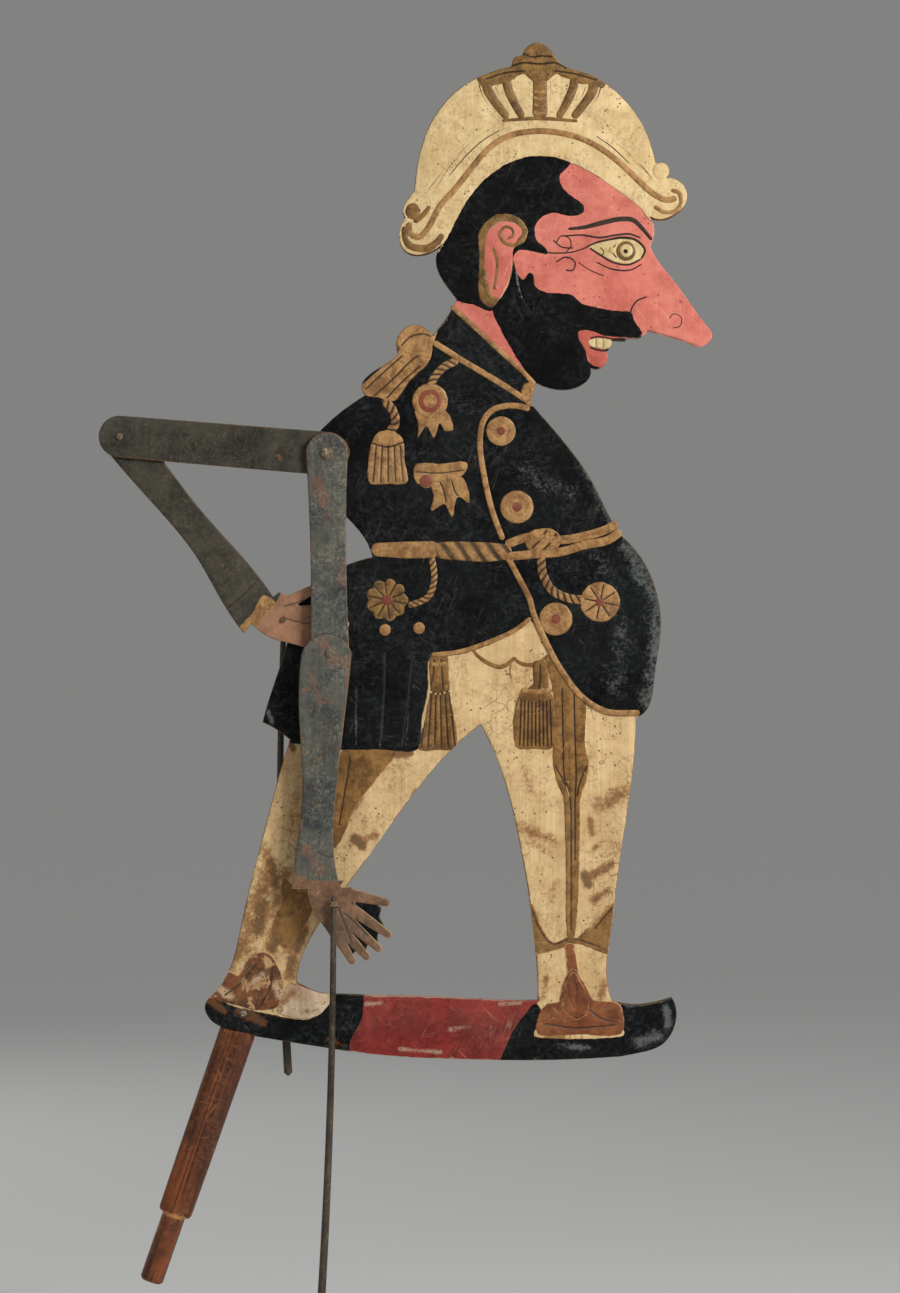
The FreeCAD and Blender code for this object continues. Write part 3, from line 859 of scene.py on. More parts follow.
def build_craze(g: Graph, into: Inputs) -> Socket:
    """Hair cracks: edges of bent Voronoi cells, kept in a few places."""
    bent = g.node("ShaderNodeVectorMath", operation="ADD")
    shift = g.node("ShaderNodeTexNoise")
    g.put(shift.inputs["Vector"], into["Vector"])
    shift.inputs["Scale"].default_value = 70
    push = g.node("ShaderNodeVectorMath", operation="SCALE")
    g.put(push.inputs[0], shift.outputs["Color"])
    push.inputs["Scale"].default_value = 0.02
    g.put(bent.inputs[0], into["Vector"])
    g.put(bent.inputs[1], push.outputs[0])
    edge = g.cells(bent.outputs[0], into["Scale"], "DISTANCE_TO_EDGE")
    line = g.minus(1, g.step(edge, 0.004, 0.022))
    kept = g.step(g.noise(into["Vector"], 30, 2), 0.50, 0.60)
    return g.times(g.times(line, kept), into["Amount"])


def build_grit(g: Graph, into: Inputs) -> Socket:
    """Fine uneven film about a millimetre across: two noises, multiplied, where both are high."""
    fine = g.step(g.noise(into["Vector"], into["Scale"], 5, 0.75), 0.44, 0.68)
    where = g.step(g.noise(into["Vector"], 60, 3, 0.6), 0.30, 0.66)
    return g.times(g.times(fine, where), into["Amount"], clamp=True)


def build_streaks(g: Graph, into: Inputs) -> Socket:
    """Long soft streaks along z, at the given scale."""
    long = g.stretch(into["Vector"], (160, 160, 9))
    return g.step(g.noise(long, into["Scale"], 3, 0.6, 0.5), 0.40, 0.62)


BUILDERS = {
    Effect.MOTTLE: (build_mottle, ("Scale",)),
    Effect.RUB: (build_rub, ("Rim", "Amount")),
    Effect.CHIPS: (build_chips, ("Scale", "Amount")),
    Effect.SPECKS: (build_specks, ("Scale", "Amount")),
    Effect.SCRATCHES: (build_scratches, ("Amount",)),
    Effect.DUST: (build_dust, ("Amount",)),
    Effect.GRAIN: (build_grain, ("Scale",)),
    Effect.CRAZE: (build_craze, ("Scale", "Amount")),
    Effect.GRIT: (build_grit, ("Scale", "Amount")),
    Effect.STREAKS: (build_streaks, ("Scale",)),
}


def effect(g: Graph, kind: Effect, vector: object, **values: object) -> Socket:
    """Places an effect's node group, and builds the group on its first use.

    Args:
        g: Nodes of the material.
        kind: The effect.
        vector: Object coordinates.
        **values: Its other inputs, by lower-case name.

    Returns:
        The group's value.
    """
    tree = bpy.data.node_groups.get(kind.value)
    builder, names = BUILDERS[kind]
    if tree is None:
        tree = bpy.data.node_groups.new(kind.value, "ShaderNodeTree")
        tree.interface.new_socket("Vector", in_out="INPUT", socket_type="NodeSocketVector")
        for name in names:
            tree.interface.new_socket(name, in_out="INPUT", socket_type="NodeSocketFloat")
        tree.interface.new_socket("Mask", in_out="OUTPUT", socket_type="NodeSocketFloat")
        inner = Graph(tree)
        entry = inner.node("NodeGroupInput").outputs
        sockets = {socket.name: socket for socket in entry if socket.name}
        inner.put(inner.node("NodeGroupOutput").inputs["Mask"], builder(inner, sockets))
    made = g.node("ShaderNodeGroup", node_tree=tree)
    g.put(made.inputs["Vector"], vector)
    for name, value in values.items():
        g.put(made.inputs[name.capitalize()], value)
    return made.outputs["Mask"]


def tint(code: str) -> tuple[float, float, float, float]:
    """Linear colour of a six-digit colour code."""
    part = np.array([int(code[k:k + 2], 16) for k in (0, 2, 4)]) / 255
    linear = np.where(part <= 0.04045, part / 12.92, ((part + 0.055) / 1.055) ** 2.4)
    return (*linear.tolist(), 1.0)


@dataclass(frozen=True)
class Finish:
    """A worn surface: its colours, and how much of each kind of age it shows.

    base and shade are the two tones of its cloudy patches, under is what shows where it is rubbed
    through, and grime is the colour of the dirt in specks and stains and of the dirt and painted
    shade at the bottoms of cuts; on black paint it is a lighter grey, which with the mark colour
    paints dust and a painted highlight on the coat flap.
    """

    name: str
    base: str
    shade: str
    under: str
    grime_and_shade: str
    mottle_scale: float = 45.0
    rub: float = 0.55
    chips: float = 0.3
    chip_scale: float = 190.0
    specks: float = 0.5
    scratches: float = 0.5
    dust: float = 0.2
    dust_colour: str = "8a8478"
    grit: float = 0.4
    grit_colour: str = "7a6a50"
    grit_scale: float = 520.0
    stain: str = "74401f"
    craze: float = 0.0
    streaks: float = 0.0
    streak_scale: float = 1.0
    streak_colour: str = "3a2412"
    # cuts: how far the bottoms of cuts and the valleys between strands are darkened towards the
    # grime colour, dirt together with painted shade
    cuts: float = 0.75
    rough: float = 0.62
    gloss: float = 0.35
    relief: float = 0.12
    pebble: float = 0.0
    fibre: float = 0.3
    lean: float = 0.0

    def build(self) -> bpy.types.Material:
        """Makes the material, or returns it if it is already made."""
        found = bpy.data.materials.get(self.name)
        if found:
            return found
        material = bpy.data.materials.new(self.name)
        material.use_nodes = True
        material.node_tree.nodes.clear()
        g = Graph(material.node_tree)
        place = g.node("ShaderNodeTexCoord").outputs["Object"]
        if self.lean:
            place = g.stretch(place, (1, 1, 1), (0, self.lean, 0))
        mottle = effect(g, Effect.MOTTLE, place, scale=self.mottle_scale)
        colour = g.mix(mottle, tint(self.base), tint(self.shade))
        if self.streaks:
            streak = effect(g, Effect.STREAKS, place, scale=self.streak_scale)
            colour = g.mix(g.times(streak, self.streaks), colour,
                           tint(self.streak_colour))
        grain = effect(g, Effect.GRAIN, place, scale=1.0)
        fibre = g.times(g.step(grain, 0.35, 0.7), self.fibre)
        colour = g.mix(fibre, colour, g.mix(0.55, colour, tint(self.grime_and_shade)))
        # Drawn marks: spills and rubbed patches, and on the coat flap grey dust with a painted
        # highlight along its lit right edge
        ragged = g.plus(g.times(g.noise(place, 110, 5, 0.75), 1.3),
                        g.times(g.noise(place, 520, 3, 0.7), 1.2))
        stain = g.plus(g.value("stain"), g.minus(ragged, 1.25))
        stain_and_sheen_patch = g.times(g.step(stain, 0.22, 0.85), 0.85)
        stain_and_sheen_patch = g.times(stain_and_sheen_patch, g.step(g.value("stain"), 0.02, 0.2))
        colour = g.mix(stain_and_sheen_patch, colour, g.mix(g.step(stain, 0.7, 1.15), tint(self.stain),
                                           tint(self.grime_and_shade)))
        # Bottoms of cuts and valleys between twisted strands darken towards the grime colour:
        # dirt, and painted shade in the hollows
        cut_dirt_and_shade = g.times(g.step(g.value("groove"), 0.12, 0.8), self.cuts)
        colour = g.mix(cut_dirt_and_shade, colour, tint(self.grime_and_shade))
        speck = effect(g, Effect.SPECKS, place, scale=330.0, amount=self.specks)
        colour = g.mix(speck, colour, tint(self.grime_and_shade))
        if self.craze:
            crack = effect(g, Effect.CRAZE, place, scale=95.0, amount=self.craze)
            colour = g.mix(crack, colour, tint(self.grime_and_shade))
        chip = effect(g, Effect.CHIPS, place, scale=self.chip_scale, amount=self.chips)
        rub = effect(g, Effect.RUB, place, rim=g.value("rim"), amount=self.rub)
        bare = g.math("MAXIMUM", chip, rub)
        colour = g.mix(bare, colour, tint(self.under))
        grit = effect(g, Effect.GRIT, place, scale=self.grit_scale, amount=self.grit)
        colour = g.mix(grit, colour, tint(self.grit_colour))
        dust = effect(g, Effect.DUST, place, amount=self.dust)
        colour = g.mix(dust, colour, tint(self.dust_colour))
        scratch = effect(g, Effect.SCRATCHES, place, amount=self.scratches)
        colour = g.mix(scratch, colour, g.mix(0.5, tint(self.under), tint(self.dust_colour)))

        shine = g.minus(self.rough, g.times(g.value("rim"), 0.12))
        shine = g.plus(shine, g.times(g.plus(dust, bare), 0.22))
        shine = g.plus(shine, g.times(mottle, 0.08), clamp=True)
        height = g.times(grain, 0.5 * self.fibre)
        height = g.plus(height, g.times(g.noise(place, 620, 3, 0.6), 0.35))
        height = g.minus(height, g.times(bare, 0.7))
        height = g.minus(height, g.times(scratch, 0.5))
        if self.pebble:
            bump = g.cells(place, 900, "SMOOTH_F1")
            height = g.plus(height, g.times(bump, self.pebble))
        relief = g.node("ShaderNodeBump")
        relief.inputs["Strength"].default_value = 0.6
        relief.inputs["Distance"].default_value = self.relief * METRE
        g.put(relief.inputs["Height"], height)
        shader = g.node("ShaderNodeBsdfPrincipled")
        g.put(shader.inputs["Base Color"], colour)
        g.put(shader.inputs["Roughness"], shine)
        g.put(shader.inputs["Normal"], relief.outputs[0])
        shader.inputs["Specular IOR Level"].default_value = self.gloss
        end = g.node("ShaderNodeOutputMaterial")
        g.put(end.inputs["Surface"], shader.outputs[0])
        return material


CREAM = Finish("cream_paint", "dabc8a", "c6a472", "8f6a40", "4a2c16", mottle_scale=42, rub=0.62,
    chips=0.62, chip_scale=230, specks=1.0, scratches=0.3, craze=0.7, dust=0.06, fibre=0.45,
    grit=0.75, grit_colour="8b683e", grit_scale=640, gloss=0.2, stain="7d4a22")
HAT_CREAM = Finish("hat_cream_paint", "dcc290", "c8ab78", "83603a", "3c2814", mottle_scale=38,
    rub=0.6, chips=0.5, chip_scale=230, specks=1.0, scratches=0.25, craze=0.35, dust=0.05,
    fibre=0.35, grit=0.7, grit_colour="8e6c42", grit_scale=640, gloss=0.2)
# On black paint the grime and mark colours are greys lighter than the paint; on the coat flap they
# paint dust and a painted highlight
BLACK = Finish("black_paint", "050506", "101213", "5c4a36", "2c2c29", mottle_scale=26, rub=0.62,
    chips=0.3, specks=0.15, scratches=0.38, dust=0.07, dust_colour="565650", rough=0.55,
    gloss=0.05, fibre=0.1, grit=0.42, grit_colour="3c3f42", grit_scale=420, stain="636663")
HAIR_BLACK = Finish("hair_black_paint", "040404", "0c0c0c", "4c3826", "060606", rub=0.5,
    chips=0.15, specks=0.1, scratches=0.3, dust=0.05, dust_colour="44433e", rough=0.5, gloss=0.06,
    fibre=0.1, grit=0.4, grit_colour="36383a", grit_scale=420, stain="8a8f92")
PINK = Finish("pink_paint", "cf7767", "b65e50", "e0b196", "5d1f17", mottle_scale=30, rub=0.5,
    chips=0.3, specks=0.75, scratches=0.35, dust=0.08, dust_colour="c8a088", fibre=0.25, cuts=
    0.85, grit=0.5, grit_colour="a34c40", grit_scale=620, gloss=0.2, stain="8a7a5e")
OCHRE = Finish("gold_ochre_paint", "b08552", "76502a", "55371a", "1e1108", mottle_scale=130,
    rub=0.42, chips=0.45, specks=0.5, scratches=0.3, dust=0.12, dust_colour="c8a878", rough=0.5,
    gloss=0.25, fibre=0.35, cuts=0.95, grit=0.7, grit_colour="5d3c1c", grit_scale=620)
BRONZE = Finish("dark_bronze_paint", "8f6a36", "553a1c", "b0895a", "180e05", mottle_scale=130,
    rub=0.5, chips=0.4, specks=0.5, scratches=0.3, dust=0.12, dust_colour="a08660", rough=0.5,
    gloss=0.25, fibre=0.35, cuts=0.95, grit=0.6, grit_colour="3c2810", grit_scale=620)
BROWN = Finish("brown_paint", "936a38", "5f4120", "b38b58", "1c1006", mottle_scale=110, rub=0.5,
    chips=0.6, specks=0.5, scratches=0.4, dust=0.14, dust_colour="b89668", rough=0.6, gloss=0.2,
    fibre=0.5, cuts=0.95, grit=0.6, grit_colour="452c14", grit_scale=620)
COPPER = Finish("copper_paint", "8a4c24", "602c12", "c09a68", "1c0c04", mottle_scale=90, rub=0.6,
    chips=0.85, chip_scale=150, specks=0.6, scratches=0.45, dust=0.16, dust_colour="b0946e",
    rough=0.5, gloss=0.25, fibre=0.4, cuts=0.95, grit=0.65, grit_colour="43200c", grit_scale=520)
RED = Finish("red_paint", "93302a", "6a1c18", "b08a70", "24100c", mottle_scale=36, rub=0.62,
    chips=0.45, chip_scale=300, specks=0.8, scratches=0.4, dust=0.2, dust_colour="94705f",
    rough=0.55, gloss=0.2, fibre=0.35, grit=0.8, grit_colour="4c1410", grit_scale=520,
    stain="b89a80")
RED_DOT = Finish("red_dot_paint", "84402c", "6c2e20", "a67a46", "34120c", mottle_scale=90, rub=
    0.5, chips=0.5, specks=0.4, dust=0.14, rough=0.55, gloss=0.22)
EYE = Finish("eye_paint", "cfb988", "b49a62", "8a6238", "3a2612", mottle_scale=90, rub=0.3,
    chips=0.2, specks=0.3, scratches=0.2, dust=0.05, rough=0.5, gloss=0.25, fibre=0.1)
IRIS = Finish("iris_paint", "7a5a2a", "54391a", "a8885a", "2a1a0c", mottle_scale=120, rub=0.3,
    chips=0.2, specks=0.3, dust=0.05, rough=0.45, gloss=0.3)
INK = Finish("ink_line_paint", "1c1410", "2a1d14", "5d3a28", "120c08", rub=0.45, chips=0.3,
    specks=0.1, scratches=0.1, dust=0.1, rough=0.6, gloss=0.15, grit=0.2)
LIP = Finish("lip_paint", "b85848", "9c4438", "d49a80", "4a1710", mottle_scale=90, rub=0.4,
    chips=0.2, specks=0.3, scratches=0.15, dust=0.05, rough=0.5, gloss=0.25, fibre=0.12)
NEAR_LEATHER = Finish("near_arm_leather", "56554b", "23252a", "6e5038", "13110d",
    mottle_scale=30.0, rub=0.62, chips=0.9, chip_scale=150, specks=0.6, scratches=0.8, dust=0.3,
    dust_colour="7d7b6e", rough=0.6, gloss=0.2, relief=0.3, pebble=0.4, fibre=0.15, grit=0.55,
    grit_colour="918e7e", grit_scale=560, streaks=0.5, streak_scale=2.6, streak_colour="2c3238",
    stain="7a4a32")
FAR_LEATHER = Finish("far_arm_leather", "403c32", "1c1b19", "664c34", "0e0c09", mottle_scale=30.0,
    rub=0.62, chips=0.7, chip_scale=150, specks=0.4, scratches=0.8, dust=0.3, dust_colour=
    "635f52", rough=0.6, gloss=0.2, relief=0.3, pebble=0.4, fibre=0.15, grit=0.45,
    grit_colour="67604c", grit_scale=560)
NEAR_HAND = Finish("near_hand_leather", "86634a", "5c412c", "a9855e", "17110c", mottle_scale=70,
    rub=0.6, chips=0.6, specks=0.5, scratches=0.5, dust=0.25, rough=0.6, gloss=0.2, relief=0.2,
    pebble=0.3, fibre=0.2, grit=0.6, grit_colour="4a3626")
FAR_HAND = Finish("far_hand_leather", "a67457", "855a40", "c09a74", "2a1a12", mottle_scale=60,
    rub=0.55, chips=0.35, specks=0.35, scratches=0.3, dust=0.2, rough=0.6, gloss=0.25, relief=0.2,
    pebble=0.3, fibre=0.2)
RING_LEATHER = Finish("ring_leather", "3c3024", "2c231a", "6e5238", "14100b", rub=0.5, chips=0.3,
    specks=0.3, dust=0.3, rough=0.7, gloss=0.2, pebble=0.4)
PEG_WOOD = Finish("peg_end_wood", "6b5c48", "463a2d", "a8957a", "1e160f", mottle_scale=260,
    rub=0.45, chips=0.9, chip_scale=520, specks=0.5, dust=0.25, rough=0.65, gloss=0.2, fibre=0.4,
    grit=0.7, grit_colour="b5a488")
GRIP_WOOD = Finish("handle_wood", "8c4a22", "5a2c14", "b47c46", "190b05", mottle_scale=40,
    rub=0.62, chips=0.35, chip_scale=240, specks=0.8, scratches=0.6, dust=0.08,
    dust_colour="94765a", streaks=0.85, streak_scale=1.3, streak_colour="2a1208", rough=0.4,
    gloss=0.3, relief=0.2, fibre=0.7, grit=0.5, grit_colour="9c5a2c", lean=math.radians(19.1))
ROD_HORN = Finish("dark_horn", "352c23", "463a2d", "6a5a48", "0e0b08", mottle_scale=70, rub=0.4,
    chips=0.3, specks=0.3, scratches=0.4, dust=0.16, dust_colour="7a7262", streaks=0.5,
    streak_scale=2.2, streak_colour="1c1711", rough=0.4, gloss=0.3, fibre=0.35)
THREAD = Finish("waxed_thread", "8f7452", "6e5538", "b79b74", "2a1c10", mottle_scale=240, rub=0.3,
    chips=0.1, specks=0.3, scratches=0.1, dust=0.2, rough=0.75, gloss=0.2, relief=0.1, fibre=0.2,
    cuts=0.7)
BAR_BLACK = replace(BLACK, name="bar_black_paint", stain="744a2a", grit=0.6)
WORN_COPPER = replace(COPPER, name="worn_copper_paint", base="7a4424", shade="452210", chips=1.0,
    chip_scale=95.0, grit=0.9, stain="d0b48c")
PALE_PAINT = replace(CREAM, name="pale_worn_paint", base="d6bfa0", shade="b08a6a", under="7a4a34",
    chips=0.9, chip_scale=150.0, grit=0.9)


@dataclass(frozen=True)
class Mark:
    """A drawn mark, such as a spill, a rubbed patch, and on the coat flap grey dust with a painted
    highlight: path in drawing units, half width in mm, and strength.
    """

    path: Line
    width: float
    strength: float


@dataclass(frozen=True)
class Relief:
    """One raised area of the board: name, outlines in drawing units, heights and finish."""

    name: str
    outlines: tuple[Line, ...]
    carving: Carving
    finish: Finish
    grooves: tuple[Groove, ...] = ()
    step: float = 1.0
    marks: tuple[Mark, ...] = ()


@dataclass(frozen=True)
class Trim:
    """One raised line: its path and width in drawing units, and foot and height in mm.

    Several widths are spaced evenly along the line. The foot is counted from the board's middle
    plane, and strands is the length in mm of one turn of a cord, or 0 for a plain trim.
    """

    path: Line
    width: float | tuple[float, ...]
    base: float
    height: float
    strands: float = 0.0


DOME = ((0, 0.9), (0.35, 0.86), (0.7, 0.62), (0.92, 0.3), (1.0, 0.0))
BUTTON = ((0, 0.62), (0.3, 0.6), (0.42, 0.5), (0.5, 0.34), (0.58, 0.5), (0.7, 0.66), (0.85, 0.56),
          (0.97, 0.25), (1.0, 0.0))
DISC = ((0, 0.45), (0.75, 0.42), (0.94, 0.3), (1.0, 0.05))
PIP = ((0, 0.8), (0.6, 0.72), (0.9, 0.45), (1.0, 0.1))
MEDAL = ((0, 0.6), (0.7, 0.6), (0.9, 0.55), (1.0, 0.1))
PUPIL = ((0, 0.45), (0.8, 0.3), (1.0, 0.0))


def upright_cuts(left: float, right: float, top: float, foot: float, count: int,
                 flare: float = 0.0, depth: float = 0.4) -> tuple[Groove, ...]:
    """Evenly spaced upright cuts of a tassel, which spread towards their feet by the flare."""
    columns = np.linspace(left, right, count)
    middle = (left + right) / 2
    feet = middle + (columns - middle) * (1 + flare)
    return tuple(Groove(((x, top), ((x + low) / 2, (top + foot) / 2 + 0.5), (low, foot)), 0.45,
                        depth) for x, low in zip(columns.tolist(), feet.tolist()))


def petal_cuts(centre: tuple[float, float], inner: float, outer: float,
               count: int) -> tuple[Groove, ...]:
    """Cuts that run out from a middle, evenly turned."""
    turns = turns_of(count) + 0.2
    shares = (inner, (inner + outer) / 2, outer)
    return tuple(Groove(tuple((centre[0] + r * math.cos(t), centre[1] + r * math.sin(t))
                              for r in shares), 0.42, 0.45) for t in turns.tolist())


def spread(marks: tuple[Mark, ...]) -> tuple[np.ndarray | None, list[Run]]:
    """Mesh points that let marks show, on a small grid round each path, and the paths."""
    seeds, paths = [], []
    for mark in marks:
        path = smooth(drawn(mark.path), max(1.5, mark.width * 0.4), False)
        paths.append((path, mark.width, mark.strength))
        pitch = mark.width * 0.42
        span = np.arange(-4, 5) * pitch
        x, z = np.meshgrid(span, span)
        grid = path[:, None] + np.column_stack([x.ravel(), z.ravel()])[None]
        seeds.append(np.unique(np.round(grid.reshape(-1, 2) / pitch), axis=0) * pitch)
    return (np.vstack(seeds) if seeds else None), paths


def stain_and_sheen_strength(points: np.ndarray, paths: list[Run]) -> np.ndarray:
    """Strength of the marks at each point: the largest strength * exp(-(away / width) ** 2)."""
    stain = np.zeros(len(points))
    for path, width, strength in paths:
        away = distance_to_runs(points[:, [0, 2]], path[:-1], path[1:])
        stain = np.maximum(stain, strength * np.exp(-(away / width) ** 2))
    return stain


@dataclass
class CarvedBoard:
    """The carved figure on its base bar, with the peg that locks the grip into its heel."""

    ground: float = 5.3
    ground_bevel: float = 0.8
    core_inset: float = 0.3
    core_spacing: float = 3.4
    relief_inset: float = 0.1
    dowel_reach: float = 5.95
    body: str = "puppet"

    def __post_init__(self) -> None:
        """Reads the silhouette from the frame."""
        self.silhouette = Outline.of_node("body_board", 1.6)
        self.limit = self.silhouette.inset(self.relief_inset)

    def build(self) -> None:
        """Builds the core and every piece on it."""
        self.core()
        for relief in RELIEFS:
            self.relief(relief)
        for name, finish, trims in TRIMS:
            self.add(name, [ribbon(trim) for trim in trims], finish, crease=50)
        for name, finish, bosses in BOSSES:
            self.add(name, [boss(*numbers) for numbers in bosses], finish)
        self.peg()

    def add(self, name: str, shells: list[Shell], finish: Finish,
            replaced: tuple[str, ...] = (), crease: float = 38.0) -> None:
        """Adds a piece of the board."""
        add_piece(name, shells, finish, self.body, replaced, crease)

    def core(self) -> None:
        """The board itself, cream all over, with the marks that time has left on it."""
        seeds, paths = spread(MARKS)
        shell = carve(self.silhouette.inset(self.core_inset),
                      Carving(self.ground, bevel=self.ground_bevel, spacing=self.core_spacing),
                      seeds=seeds)
        shell.values["stain"] = stain_and_sheen_strength(shell.points, paths)
        self.add("board_core", [shell], CREAM, ("body_board",))

    def relief(self, relief: Relief) -> None:
        """One raised area, on both faces."""
        seeds, paths = spread(relief.marks)
        shells = []
        for line in relief.outlines:
            shell = carve(Outline.through(drawn(line), relief.step), relief.carving, self.limit,
                          relief.grooves, seeds)
            shell.values["stain"] = stain_and_sheen_strength(shell.points, paths)
            shells.append(shell)
        self.add(relief.name, shells, relief.finish)

    def peg(self) -> None:
        """Dowel that shows as a round orange end on both faces of the heel."""
        low, high = node_box("grip_peg")
        radius = (high[0] - low[0]) / 2
        rounded = [(0, self.dowel_reach), (radius * 0.5, self.dowel_reach - 0.01),
                   (radius * 0.88, self.dowel_reach - 0.1), (radius, self.dowel_reach - 0.35)]
        profile = [(r, -y) for r, y in rounded] + rounded[::-1]
        add_piece("heel_dowel", [turned(middle_of(low, high), profile, 24)], PEG_WOOD, self.body,
                  ("grip_peg",))


ROSETTE = tuple((600 + 20 * math.cos(a), 602 + 20 * math.sin(a))
                for a in turns_of(16).tolist())
DARK_ROSETTE = tuple((387 + r * math.cos(a), 600 + r * math.sin(a)) for a, r in zip(
    turns_of(36).tolist(), [21.5, 20.5, 18.6, 20.5] * 9))

